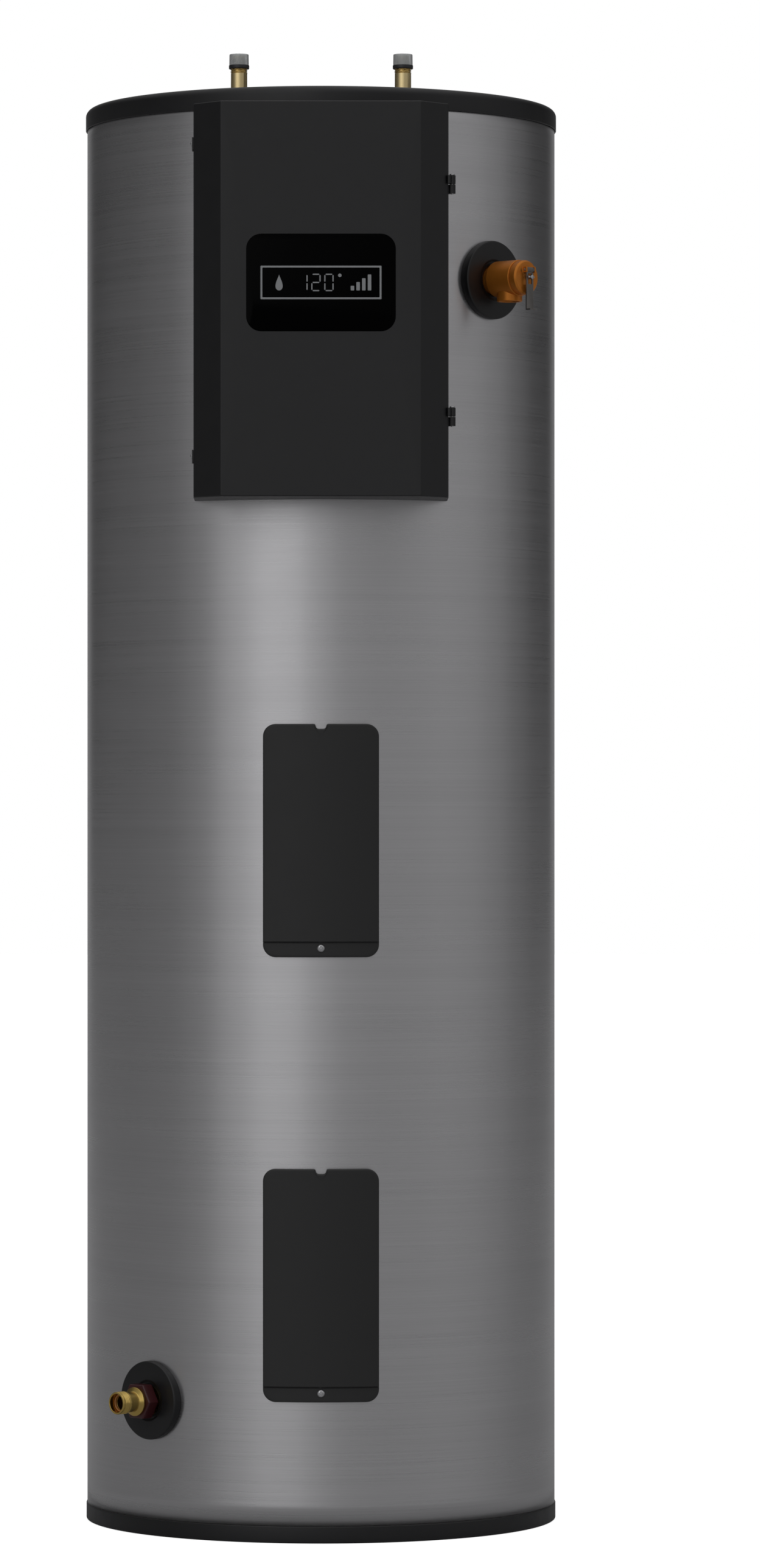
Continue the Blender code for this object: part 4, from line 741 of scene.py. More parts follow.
def bored(obj, *holes):
    """Cuts upright round holes of (x, y, radius) through a piece for good."""
    for k, (x, y, radius) in enumerate(holes):
        low, high = LID_SKIRT, LID_TOP + 0.01
        cutter = bpy.data.meshes.new(f"hole_{k}")
        grid = turned([(radius, low), (radius, high)], 48, standing(x, y))
        rows, columns = grid.shape[:2]
        faces = cells(rows, columns, False, True).reshape(-1, 4).tolist()
        faces += [list(range(columns)), list(range(columns, 2 * columns))]
        cutter.from_pydata(grid.reshape(-1, 3).tolist(), [], faces)
        tidy(cutter)
        tool = bpy.data.objects.new(cutter.name, cutter)
        bpy.context.scene.collection.objects.link(tool)
        cut = obj.modifiers.new("hole", "BOOLEAN")
        cut.operation, cut.solver, cut.object = "DIFFERENCE", "EXACT", tool
        done = bpy.data.meshes.new_from_object(obj.evaluated_get(bpy.context.evaluated_depsgraph_get()))
        obj.modifiers.remove(cut)
        obj.data = done
        bpy.data.objects.remove(tool)
    tidy(obj.data)


def make_lid():
    """Pressed lid: flat middle, shallow ring groove, rolled rim and a skirt with a turned-in hem."""
    outer, wall = LID_RADIUS, LID_WALL
    profile = filleted(
        [
            (0.264, LID_TOP, 0.002),
            (0.266, LID_TOP - 0.0012, 0.001),
            (0.270, LID_TOP - 0.0012, 0.001),
            (0.272, LID_TOP, 0.002),
            (outer, LID_TOP, 0.009),
            (outer, LID_SKIRT, 0.0007),
            (outer - wall, LID_SKIRT, 0.0007),
            (outer - wall, LID_TOP - wall, 0.0074),
            (0.250, LID_TOP - wall, 0.0),
            (0.250, LID_TOP, 0.0),
        ],
        8,
    )[:-9]
    first, last = [(0, LID_TOP), (0.15, LID_TOP), (0.250, LID_TOP)], [(0, LID_TOP - wall)]
    grid = turned(np.vstack([first, profile, last]), 256)
    lid = piece(
        "pressed_lid", [skin(grid)], "heater", [FINISH["shell"]], ["top_lid"], crisp=25
    )
    bored(lid, (-NIPPLE_X, 0, 0.01095), (NIPPLE_X, 0, 0.01095), (0, INLET_Y, 0.0131))


def make_base():
    """Ring with rolled edges round a floor plate."""
    inner = BASE_RADIUS - 0.015
    profile = filleted(
        [
            (0.02, 0, 0),
            (BASE_RADIUS, 0, 0.0018),
            (BASE_RADIUS, BASE_HEIGHT, 0.0012),
            (inner, BASE_HEIGHT, 0.002),
            (inner, 0.004, 0.003),
            (0.02, 0.004, 0),
        ],
        6,
    )
    grid = turned(np.vstack([[(0, 0)], profile, [(0, 0.004)]]), 256)
    piece("base_ring", [skin(grid)], "heater", [FINISH["shell"]], ["base_pan"], crisp=25)


# Water connections


def make_connections():
    for side, x in (("hot", -NIPPLE_X), ("cold", NIPPLE_X)):
        place = standing(x, 0)
        rise = np.linspace(NIPPLE_THREAD_LOW, 1.8255, 110)
        threads = np.column_stack([np.full(110, NIPPLE_RADIUS), rise])
        foot = [(NIPPLE_BORE, NIPPLE_LOW, 0), (NIPPLE_RADIUS, NIPPLE_LOW, 0.0005), (NIPPLE_RADIUS, 1.80, 0)]
        rim = [(0.0100, NIPPLE_TOP), (0.0086, NIPPLE_TOP), (NIPPLE_BORE, 1.8258)]
        profile = np.vstack([filleted(foot, 3)[:-4], threads, rim])
        grid = turned(profile, 72, place, thread=(0.001814, 0.0011, 1.803, 1.8275))
        piece(
            f"{side}_pipe_nipple", [skin(grid, rows_closed=True)], "heater", [FINISH["brass"]],
            [f"{side}_nipple"],
        )
        seal = [
            (NIPPLE_RADIUS, 1.7574, 0),
            (0.0130, 1.7574, 0.0004),
            (0.0124, 1.7596, 0.0006),
            (NIPPLE_RADIUS, 1.7596, 0),
        ]
        piece(
            f"{side}_nipple_seal", [skin(turned(filleted(seal, 3), 72, place), rows_closed=True)],
            "heater", [FINISH["rubber"]],
        )
        low, high, bore = SLEEVE_LOW, SLEEVE_TOP, SLEEVE_BORE
        sleeve = [
            (bore, low + 0.0046, 0),
            (0.0122, low + 0.0046, 0.0003),
            (0.0120, high, 0.0006),
            (bore, high, 0.0004),
        ]
        sleeve = turned(filleted(sleeve, 4), 72, place)
        # The near-black ring at the sleeve's foot is painted shade: its colour stands in for the shade where
        # the sleeve meets the nipple.
        lip = [
            (bore, low, 0.0003),
            (0.0127, low, 0.0006),
            (0.0127, low + 0.0048, 0.0008),
            (bore, low + 0.0048, 0.0002),
        ]
        lip = turned(filleted(lip, 3), 72, place)
        piece(
            f"{side}_sleeve", [skin(sleeve, rows_closed=True), skin(lip, rows_closed=True, finish=1)],
            "heater", [FINISH["smoke"], FINISH["band"]], [f"{side}_thread_protector"],
        )
    bushing = [
        (0.0111, 1.745, 0.0008),
        (0.0128, 1.745, 0.0004),
        (0.0128, 1.7573, 0),
        (0.0165, 1.7573, 0.0003),
        (0.0165, 1.760, 0.0012),
        (0.0111, 1.760, 0.0014),
    ]
    bushing = turned(filleted(bushing, 4), 64, standing(0, INLET_Y))
    piece(
        "inlet_bushing", [skin(bushing, rows_closed=True)], "heater", [FINISH["shell"]],
        ["cable_inlet_bushing"],
    )
    refined("dip_tube", FINISH["white"], edge=0)


# Control box


def box_ring(half_width, low, high, radius, depth, steps=8):
    """A rounded rectangle that stands across the front at a depth."""
    flat = rectangle(2 * half_width, high - low, radius, (0, (low + high) / 2), steps)
    return np.column_stack([flat[:, 0], np.full(len(flat), -depth), flat[:, 1]])


def make_door(sizes):
    """Front shell of the control box, lofted from the window's edge over the face and shoulders to the rim.

    Each row is a rounded rectangle at its own depth, and the rows run out over the face and back inside
    at the wall's thickness, so the loft closes on itself.
    """
    low, high, wall = BOX_LOW, BOX_HIGH, BOX_WALL
    width, height, corner = WINDOW
    window = (width / 2 + 0.0003, WINDOW_HEIGHT - height / 2 - 0.0003, WINDOW_HEIGHT + height / 2 + 0.0003)
    edge = sizes.box_edge
    inside = (BOX_SIDE - wall, low + wall, high - wall)
    rows = [
        box_ring(*window, corner, BOX_FRONT),
        box_ring(BOX_FACE - 0.001, low + edge, high - edge, edge, BOX_FRONT),
        box_ring(BOX_FACE, low + edge * 0.3, high - edge * 0.3, edge, BOX_FRONT - edge * 0.3),
        box_ring(BOX_FACE + edge * 0.7, low, high, edge, BOX_FRONT - edge),
        box_ring(BOX_SIDE - 0.0008, low, high, edge, BOX_SHOULDER + 0.0010),
        box_ring(BOX_SIDE, low, high, edge, BOX_SHOULDER - 0.0006),
        box_ring(BOX_SIDE, low, high, edge, BOX_SPLIT + 0.0006),
        box_ring(BOX_SIDE - 0.0003, low + 0.0003, high - 0.0003, edge, BOX_SPLIT + 0.0003),
        box_ring(*inside, edge, BOX_SPLIT + 0.0003),
        box_ring(*inside, edge, BOX_SHOULDER - 0.001),
        box_ring(BOX_FACE - 0.001, low + wall, high - wall, edge, BOX_FRONT - wall),
        box_ring(*window, corner, BOX_FRONT - wall),
    ]
    parts = [skin(np.stack(rows), rows_closed=True)]
    for z in TABS.values():
        parts.append(solid_block((-0.1546, -0.3335, z - 0.008), (-0.1531, -0.3180, z + 0.008), 0.0005))
        parts.append(solid_block((-0.1542, -0.3333, z - 0.0075), (-0.1515, -0.3306, z + 0.0075), 0.0003))
    for height in HINGES.values():
        parts += knuckle_skins(height + 0.0003, height + 0.011, 1)
    door = piece(
        "control_box_door", parts, "door", [FINISH["shell"]], ["control_door"], crisp=28
    )
    flat_shading(door)


def knuckle_skins(low, high, towards_front):
    """Half a hinge: a barrel with rounded ends and the web that ties it to the wall."""
    barrel = filleted(
        [(0.0018, low, 0), (0.004, low, 0.0006), (0.004, high, 0.0006), (0.0018, high, 0)], 3
    )
    near, far = sorted((-BOX_SPLIT - 0.008 * towards_front, -BOX_SPLIT - 0.0003 * towards_front))
    return [
        skin(turned(barrel, 32, standing(HINGE_X, -BOX_SPLIT)), rows_closed=True),
        solid_block((BOX_SIDE - 0.001, near, low + 0.0003), (HINGE_X - 0.0022, far, high - 0.0003), 0.0004),
    ]


def screw_head(radius, height, count=48, slot=0.0007):
    """A pan head with a cross recess, as (x, y, h): h = height (1 - (r / radius)^4), less the recess.

    The recess is as deep as half the head where the nearer of |x| and |y| is within the slot's half
    width and the other is within 0.55 of the radius.
    """
    r = radius * np.linspace(0, 1, 26)[:, None]
    angle = TAU * np.arange(count) / count
    x, y = r * np.cos(angle), r * np.sin(angle)
    dome = height * (1 - (r / radius) ** 4) * np.ones_like(x)
    inside = np.clip((slot - np.minimum(abs(x), abs(y))) / (0.4 * slot), 0, 1)
    reach = np.clip((0.55 * radius - r) / (0.1 * radius), 0, 1)
    return np.stack([x, y, dome - 0.5 * height * inside * reach], axis=-1)


def front_screw(x, z, depth, radius, height):
    """A screw head that faces the front, seated at a depth."""
    return skin(placed(screw_head(radius, height), on_front(x, z) @ standing(0, 0, depth)))


def make_box_fittings():
    refined("control_box_base", FINISH["shell"], edge=0.0005)
    for name, height in HINGES.items():
        low, high = height - 0.012, height + 0.011
        pin = turned(
            filleted(
                [
                    (0, low, 0),
                    (0.0015, low, 0.0005),
                    (0.0015, high + 0.0003, 0),
                    (0.0032, high + 0.0003, 0.0003),
                    (0.0032, high + 0.0015, 0.0009),
                    (0, high + 0.0015, 0),
                ],
                4,
            ),
            32, standing(HINGE_X, -BOX_SPLIT),
        )
        piece(
            f"{name}_pin", [skin(pin)], "heater", [FINISH["zinc"]], [f"{name}_hinge_pin"]
        )
    for name, height in TABS.items():
        place = sideways(-0.1549, -0.324, height, -1)
        head = screw_head(0.0035, 0.0018, slot=0.0005)
        shank = turned([(0.0035, 0), (0.0018, -0.0001), (0.0018, -0.0062), (0, -0.0062)], 48)
        piece(
            f"{name}_tab_screw", [skin(placed(head, place)), skin(placed(shank, place))], "door",
            [FINISH["zinc"]], [f"{name}_door_screw"],
        )


SEGMENTS = {  # which of the seven bars each digit lights: top, the two upper, middle, the two lower, bottom
    "1": (2, 5),
    "2": (0, 2, 3, 4, 6),
    "0": (0, 1, 2, 4, 5, 6),
}


def digit_bars(digit, x, z, size):
    """Seven-segment digit: each bar is a long hexagon centred where the seven-segment layout puts it."""
    half, thick = size * 0.5, size * 0.075
    centres = {
        0: (0, size, 0), 1: (-half, half, 1), 2: (half, half, 1), 3: (0, 0, 0),
        4: (-half, -half, 1), 5: (half, -half, 1), 6: (0, -size, 0),
    }
    bar = np.array(
        [(half - thick, 0), (half - 2 * thick, thick), (2 * thick - half, thick), (thick - half, 0),
         (2 * thick - half, -thick), (half - 2 * thick, -thick)]
    )
    outlines = []
    for lit in SEGMENTS[digit]:
        u, v, upright = centres[lit]
        shape = bar[:, ::-1] * (1, -1) if upright else bar
        outlines.append(shape * 0.5 + (x + u * 0.5, z + v * 0.5))
    return outlines


def printed(outline):
    """A printed mark a tenth of a millimetre thick on the window."""
    heights = np.array([LENS_FRONT - 0.0001, LENS_FRONT + 0.0001])
    return skin(carried(np.asarray(outline), heights, (0, 0), on_front(0, WINDOW_HEIGHT)), ends=True)


def make_display():
    """Glossy window with a printed frame, a drop, a temperature in seven-segment figures and level bars."""
    width, height, corner = WINDOW
    outline = rectangle(width, height, corner - 0.0003, steps=14)
    heights, insets = rounded_ends(LENS_FRONT - 0.003, LENS_FRONT, 0.0006, 3)
    lens = carried(outline, heights, insets, on_front(0, WINDOW_HEIGHT))
    piece(
        "display_window", [skin(lens, ends=True)], "door", [FINISH["lens"]], ["display_lens"],
        crisp=25,
    )
    frame_rows = [
        (0.0722, 0.0200, LENS_FRONT - 0.0001),
        (0.0722, 0.0200, LENS_FRONT + 0.0001),
        (0.0700, 0.0178, LENS_FRONT + 0.0001),
        (0.0700, 0.0178, LENS_FRONT - 0.0001),
    ]
    rows = [
        box_ring(u, WINDOW_HEIGHT - v, WINDOW_HEIGHT + v, 0.0008, depth, 3) for u, v, depth in frame_rows
    ]
    t = TAU * np.arange(48) / 48
    drop = np.stack([0.0062 * np.sin(t) * np.sin(t / 2) ** 1.6, 0.0095 * np.cos(t)], axis=-1)[::-1]
    marks = [printed(drop + (-0.050, 0.0))]
    for k, digit in enumerate("120"):
        marks += [printed(bar) for bar in digit_bars(digit, -0.0215 + 0.0155 * k, 0.0, 0.0195)]
    t = TAU * np.arange(32) / 32
    dot = np.stack([0.0021 * np.cos(t), 0.0021 * np.sin(t)], axis=-1)
    marks.append(printed(dot + (0.0225, 0.0085)))
    for k in range(4):
        tall = 0.0055 + 0.0045 * k
        bar = rectangle(0.0042, tall, 0.0006, (0.0375 + 0.0068 * k, -0.0095 + tall / 2), 2)
        marks.append(printed(bar))
    piece(
        "display_print", [skin(np.stack(rows), rows_closed=True), *marks], "door", [FINISH["print"]],
        crisp=25,
    )
    refined("display_board", FINISH["board"], edge=0.0002)


def make_box_contents():
    """Control board with its parts, contactor, terminal block, grommet and the leads between them."""
    refined("control_board", FINISH["board"], edge=0.0002)
    face = BACK_PLATE + 0.0100
    relays, metal, dark, pale = [], [], [], []
    for x in (-0.098, -0.074):
        relays.append(solid_block((x, -face - 0.015, 1.430), (x + 0.019, -face, 1.452), 0.0007))
    cans = ((-0.040, 1.436, 0.0065, 0.014), (-0.022, 1.436, 0.0065, 0.014), (-0.005, 1.448, 0.005, 0.011))
    for x, z, radius, tall in cans:
        top = face + tall
        can = filleted([(0, face, 0), (radius, face, 0.0004), (radius, top, 0.0008), (0, top, 0)], 4)
        metal.append(skin(turned(can, 32, on_front(x, z))))
    chips = ((-0.075, 1.505, 0.024, 0.024), (-0.030, 1.520, 0.010, 0.016), (-0.030, 1.490, 0.008, 0.008))
    for x, z, wide, tall in chips:
        dark.append(solid_block((x, -face - 0.0022, z), (x + wide, -face, z + tall), 0.0004))
    for k in range(6):
        x = -0.100 + 0.016 * k
        pale.append(solid_block((x, -face - 0.009, 1.566), (x + 0.012, -face, 1.580), 0.0006))
        metal.append(
            solid_block((x + 0.0045, -face - 0.0096, 1.5725), (x + 0.0075, -face - 0.0088, 1.5755), 0.0002)
        )
    for k in range(14):
        x = -0.100 + 0.0068 * k
        metal.append(solid_block((x, -face - 0.0008, 1.473), (x + 0.0032, -face, 1.4748), 0.0002))
    for name, parts, finish, slot in (
        ("board_relays", relays, "blue", "red_plastic"),
        ("board_metal", metal, "copper", "zinc_steel"),
        ("board_chips", dark, "bakelite", "bakelite"),
        ("board_connectors", pale, "white", "white_plastic"),
    ):
        flat_shading(piece(name, parts, "heater", [FINISH[finish]]))
    refined("contactor", FINISH["bakelite"], edge=0.0012, segments=3)
    refined("terminal_block", FINISH["bakelite"], edge=0.0006)
    lugs = []
    front = BACK_PLATE + 0.0003 + 0.052
    for x in (0.064, 0.096):
        for z in (1.494, 1.546):
            low, high = (x - 0.006, -front - 0.0012, z - 0.006), (x + 0.006, -front + 0.0005, z + 0.006)
            lugs += [solid_block(low, high, 0.0004), front_screw(x, z, front + 0.0012, 0.0038, 0.0018)]
    deck = BACK_PLATE + 0.0003 + 0.018
    for x in (0.053, 0.071, 0.089, 0.105):
        lugs.append(front_screw(x, 1.610, deck, 0.0034, 0.0016))
    piece("terminal_screws", lugs, "heater", [FINISH["zinc"]])
    refined("wire_grommet", FINISH["rubber"], edge=0.0003)
    start = BACK_PLATE + 0.006
    leads = {
        "red_wire": [
            [
                (0.0312, -start, 1.6608), (0.0330, -0.316, 1.656),
                (0.050, -0.330, 1.635), (0.053, -0.322, 1.6135),
            ],
            [
                (0.071, -0.322, 1.6065), (0.070, -0.338, 1.585),
                (0.066, -0.352, 1.562), (0.064, -0.3505, 1.548),
            ],
        ],
        "black_wire": [
            [
                (0.0288, -start, 1.6608), (0.0310, -0.322, 1.652),
                (0.062, -0.336, 1.638), (0.071, -0.322, 1.6135),
            ],
            [
                (0.089, -0.322, 1.6065), (0.091, -0.338, 1.585),
                (0.096, -0.352, 1.562), (0.096, -0.3505, 1.548),
            ],
        ],
        "yellow_wire": [
            [
                (0.0300, -start, 1.6588), (0.018, -0.318, 1.640),
                (-0.002, -0.324, 1.600), (-0.0135, -0.3145, 1.578),
            ],
            [
                (0.064, -0.3505, 1.492), (0.060, -0.354, 1.470),
                (0.020, -0.340, 1.462), (-0.004, -0.318, 1.452),
            ],
        ],
    }
    for name, paths in leads.items():
        parts = [skin(hose(smooth_path(path), 0.0011), ends=True) for path in paths]
        piece(f"box_{name}", parts, "heater", [FINISH[name]])


# Pockets


def cover_outline():
    """Cover's edge, a rounded rectangle with a U notch in its top, mirrored about its upright middle.

    Points are evenly far apart along the edge, with more where the step crosses its upright side.
    """
    u, v, corner = COVER[0] / 2, COVER[1] / 2, COVER[2]
    notch, deep = NOTCH[0] / 2, NOTCH[1]
    half = [(u, -v, corner), (u, v, corner), (notch, v, 0.0020), (notch, v - deep, 0.0037)]
    other = [(-x, z, radius) for x, z, radius in half[::-1]]
    curve = filleted(half + other, 12)[: 4 * 13]
    curve = np.vstack([[(0, -v)], curve, [(0, v - deep)]])
    length = np.concatenate([[0], np.cumsum(np.linalg.norm(np.diff(curve, axis=0), axis=1))])
    step = u - 2 * corner + corner * math.pi / 2 + FOOT_HEIGHT + STEP_WIDTH * np.linspace(-0.7, 0.7, 11)
    at = np.sort(np.concatenate([np.linspace(0, length[-1], 190), step]))
    right = np.stack([np.interp(at, length, curve[:, k]) for k in (0, 1)], axis=-1)
    return np.vstack([right, right[-2:0:-1] * (-1, 1)])


def make_cover(name, centre, sizes):
    """Shallow moulded cover that follows the tank's curve.

    Rows run from the upright middle straight out to the edge, round its fillet as top - r (1 - sin p),
    down the rim, and back to the middle underneath at the wall's thickness. The top's height over the
    jacket eases from the foot's to the cover's by 3 s^2 - 2 s^3, and y = -sqrt((R + h)^2 - x^2).
    """
    outline = cover_outline()
    along = np.roll(outline, -1, 0) - np.roll(outline, 1, 0)
    along /= np.linalg.norm(along, axis=1, keepdims=True)
    inward = np.stack([-along[:, 1], along[:, 0]], axis=-1)
    r, wall, low = sizes.cover_edge, sizes.cover_wall, 0.0003
    p = np.linspace(0, math.pi / 2, 7)

    def across(start, drop):
        reach = COVER[1] / 2 - COVER[2]
        middle = np.column_stack([0 * start[:, 0], np.clip(start[:, 1], -reach, reach)])
        return [(start + (middle - start) * t, drop) for t in np.linspace(0, 1, 13)[1:]]

    edge = [(outline + inward * r * (1 - math.cos(q)), r * (1 - math.sin(q))) for q in p]
    rim = outline + inward * wall
    rows = across(edge[-1][0], 0.0)[::-1] + edge[::-1] + [(outline, None), (rim, None), (rim, wall)]
    rows += across(rim, wall)
    grid = []
    for flat, drop in rows:
        x, z = flat.T
        s = np.clip((z + COVER[1] / 2 - FOOT_HEIGHT) / STEP_WIDTH + 0.5, 0, 1)
        top = FOOT_PROUD + (COVER_PROUD - FOOT_PROUD) * s * s * (3 - 2 * s)
        height = np.full(len(x), low) if drop is None else top - drop
        grid.append(np.column_stack([x, -np.sqrt((RADIUS + height) ** 2 - x * x), z + centre]))
    piece(
        f"{name}_cover_shell", [skin(np.stack(grid))], f"{name}_cover",
        [FINISH["cover"]], [f"{name}_access_cover"], crisp=40,
    )
    seat = RADIUS + FOOT_PROUD + 0.0003
    place = on_front(0, centre - COVER[1] / 2 + COVER_SCREW_RISE)
    head = screw_head(0.005, 0.0025, slot=0.0008)
    head[..., 2] += seat
    end = RADIUS - 0.001
    shank = turned([(0.005, seat), (0.0022, seat - 0.0001), (0.0022, end), (0, end)], 48)
    piece(
        f"{name}_screw", [skin(placed(head, place)), skin(placed(shank, place))], f"{name}_cover",
        [FINISH["zinc"]], [f"{name}_cover_screw"],
    )


def make_pad(name, centre):
    """Glass wool pad: a rounded block whose faces dip by a few crossed waves.

    Round its sides x and z are the cosine and sine to the power 0.16, each with its own sign. Towards the
    front and back the outline shrinks by cos(lat)^0.35 while the depth grows by sin(lat)^0.5.
    """
    low = np.array([-0.0505, -0.2893, centre - 0.1165])
    high = np.array([0.0505, -0.2709, centre + 0.1165])
    size, middle = high - low, (low + high) / 2
    u, v = np.meshgrid(np.linspace(-1, 1, 60), TAU * np.arange(160) / 160, indexing="ij")
    power = 0.16
    lat = u * math.pi / 2
    c, s = np.sign(np.cos(v)) * abs(np.cos(v)) ** power, np.sign(np.sin(v)) * abs(np.sin(v)) ** power
    ring = np.clip(np.cos(lat), 0, 1) ** 0.35
    depth = np.sign(np.sin(lat)) * abs(np.sin(lat)) ** 0.5
    grid = np.stack([c * ring * size[0] / 2, depth * size[1] / 2, s * ring * size[2] / 2], axis=-1)
    wave = np.sin(grid[..., 0] * 310 + 2.1) * np.sin(grid[..., 2] * 270 + 0.7)
    wave += 0.6 * np.sin(grid[..., 0] * 720 + grid[..., 2] * 610) + 0.4 * np.sin(
        grid[..., 2] * 1250 - grid[..., 0] * 400
    )
    grid[..., 1] *= 1 - 0.05 * (1 + wave / 2)
    grid[..., 0] *= 1 - 0.006 * (1 + wave / 2)
    pad = piece(
        f"{name}_wool_pad", [skin(grid + middle)], f"{name}_cover", [FINISH["wool"]],
        [f"{name}_insulation_pad"], crisp=80,
    )


def make_pocket(name, centre, sizes):
    make_cover(name, centre, sizes)
    make_pad(name, centre)
    refined(f"{name}_shroud", FINISH["white"], edge=0.0008)
    refined(f"{name}_element_gasket", FINISH["rubber"], edge=0.0003)
    refined(f"{name}_heating_element", FINISH["zinc"], edge=0.0005)
    refined(f"{name}_element_head", FINISH["bakelite"], edge=0.0006)
    refined(f"{name}_thermostat", FINISH["bakelite"], edge=0.0008)
    refined(f"{name}_thermostat_clip", FINISH["zinc"], edge=0.0003)
    refined(f"{name}_dial", FINISH["white"], edge=0.0003)
    if name == "upper":
        refined("reset_button", FINISH["red"], edge=0.0008, segments=3)
    screws = []
    front, axis = 0.2588, centre - 0.058
    for x in (-0.017, 0.017):
        for z in (centre + 0.055 - 0.024, centre + 0.055 + 0.024):
            screws.append(front_screw(x, z, front, 0.0032, 0.0016))
    for x in (-0.007, 0.007):
        screws.append(front_screw(x, axis, 0.2678, 0.0032, 0.0016))
    piece(f"{name}_terminals", screws, "heater", [FINISH["brass"]])
    top, low = centre + 0.113, centre + 0.055
    leads = {
        "red_wire": [
            (0.0312, -0.2575, top), (0.036, -0.262, top - 0.015),
            (0.026, -0.2635, low + 0.03), (0.017, -0.2612, low + 0.026),
        ],
        "black_wire": [
            (0.017, -0.2612, low - 0.026), (0.030, -0.264, low - 0.05),
            (0.022, -0.267, axis + 0.02), (0.007, -0.2705, axis + 0.002),
        ],
        "yellow_wire": [
            (-0.017, -0.2612, low - 0.026), (-0.027, -0.264, low - 0.05),
            (-0.020, -0.267, axis + 0.02), (-0.007, -0.2705, axis + 0.002),
        ],
    }
    for wire, path in leads.items():
        piece(
            f"{name}_{wire}", [skin(hose(smooth_path(path, 40), 0.0010), ends=True)], "heater",
            [FINISH[wire]],
        )


# Valves


def make_escutcheon(name, azimuth, height):
    """Round trim plate: its back follows the jacket, depth = sqrt(R^2 - side^2), and its face is dished."""
    bore, radius, proud = ESCUTCHEON
    face = RADIUS + proud
    front = filleted(
        [
            (bore, RADIUS + 0.001, 0),
            (bore, face - 0.0022, 0.0006),
            (bore + 0.004, face - 0.0022, 0.001),
            (bore + 0.0065, face, 0.002),
            (radius, face, 0.0022),
            (radius, RADIUS - 0.004, 0),
        ],
        6,
    )
    grid = turned(front, 144)
    back = turned([(radius, 0), (bore, 0)], 144)
    grid = np.concatenate([grid, back])
    curve = np.sqrt((RADIUS + 0.0003) ** 2 - grid[..., 0] ** 2)
    behind = grid[..., 2] < RADIUS
    behind[:7] = True
    grid[..., 2] = np.where(behind, curve, grid[..., 2])
    place = outward(azimuth, height)
    piece(
        f"{name}_trim_plate", [skin(placed(grid, place), rows_closed=True)], "heater",
        [FINISH["shell"]], [f"{name}_escutcheon"], crisp=28,
    )


def make_relief_valve():
    place = outward(VALVE_AZIMUTH, RELIEF_HEIGHT)
    end = RADIUS + 0.050
    body = filleted(
        [
            (0.009, 0.242, 0),
            (0.013, 0.242, 0.0006),
            (0.013, RADIUS, 0),
            (0.0165, RADIUS + 0.001, 0.0005),
            (0.0165, RADIUS + 0.009, 0.001),
            (0.0205, RADIUS + 0.010, 0.001),
            (0.022, RADIUS + 0.0135, 0.003),
            (0.022, end, 0.0010),
            (0.015, end, 0.0003),
            (0.015, RADIUS + 0.016, 0),
            (0.009, RADIUS + 0.016, 0),
        ],
        6,
    )
    barrel = turned(body, 112, place)
    x, y = (RADIUS + 0.032) * math.sin(VALVE_AZIMUTH), -(RADIUS + 0.032) * math.cos(VALVE_AZIMUTH)
    threads = np.column_stack([np.full(60, 0.0120), np.linspace(-0.0265, -0.012, 60)])
    spigot = np.vstack(
        [
            filleted([(0.0120, -0.028, 0.0008), (0.0155, -0.028, 0.0012), (0.0155, -0.010, 0)], 5)[:-6],
            [(0.0155, -0.006), (0.0120, -0.006)],
            threads[::-1],
        ]
    )
    outlet = turned(spigot, 72, standing(x, y, RELIEF_HEIGHT))
    piece(
        "relief_barrel", [skin(barrel, rows_closed=True), skin(outlet, rows_closed=True)], "heater",
        [FINISH["bronze"]], ["relief_valve_body"], crisp=30,
    )
    refined("relief_bonnet", FINISH["bronze"], edge=0.0007, segments=3)
    refined("relief_lever", FINISH["lever"], edge=0.0004, segments=3)
    refined("relief_stem", FINISH["zinc"], edge=0.0003)
    refined("relief_lever_pin", FINISH["zinc"], edge=0.0003)
    make_relief_spring(place)


def make_relief_spring(place):
    """Coil spring: (r cos a, r sin a, h) with h rising evenly over five turns, closed up at both ends.
    """
    turns, radius, low, high = 5, 0.0085, RADIUS + 0.022, RADIUS + 0.0445
    s = np.linspace(0, 1, 301)
    rise = np.clip((s - 0.12) / 0.76, 0, 1)
    wire = 0.0011
    height = low + (high - low) * rise
    a = TAU * turns * s
    path = placed(np.stack([radius * np.cos(a), radius * np.sin(a), height], axis=-1), place)
    coil = piece(
        "relief_coil", [skin(hose(path, wire, 10), ends=True)], "heater", [FINISH["zinc"]],
        ["relief_spring"], crisp=60,
    )
    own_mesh(coil)


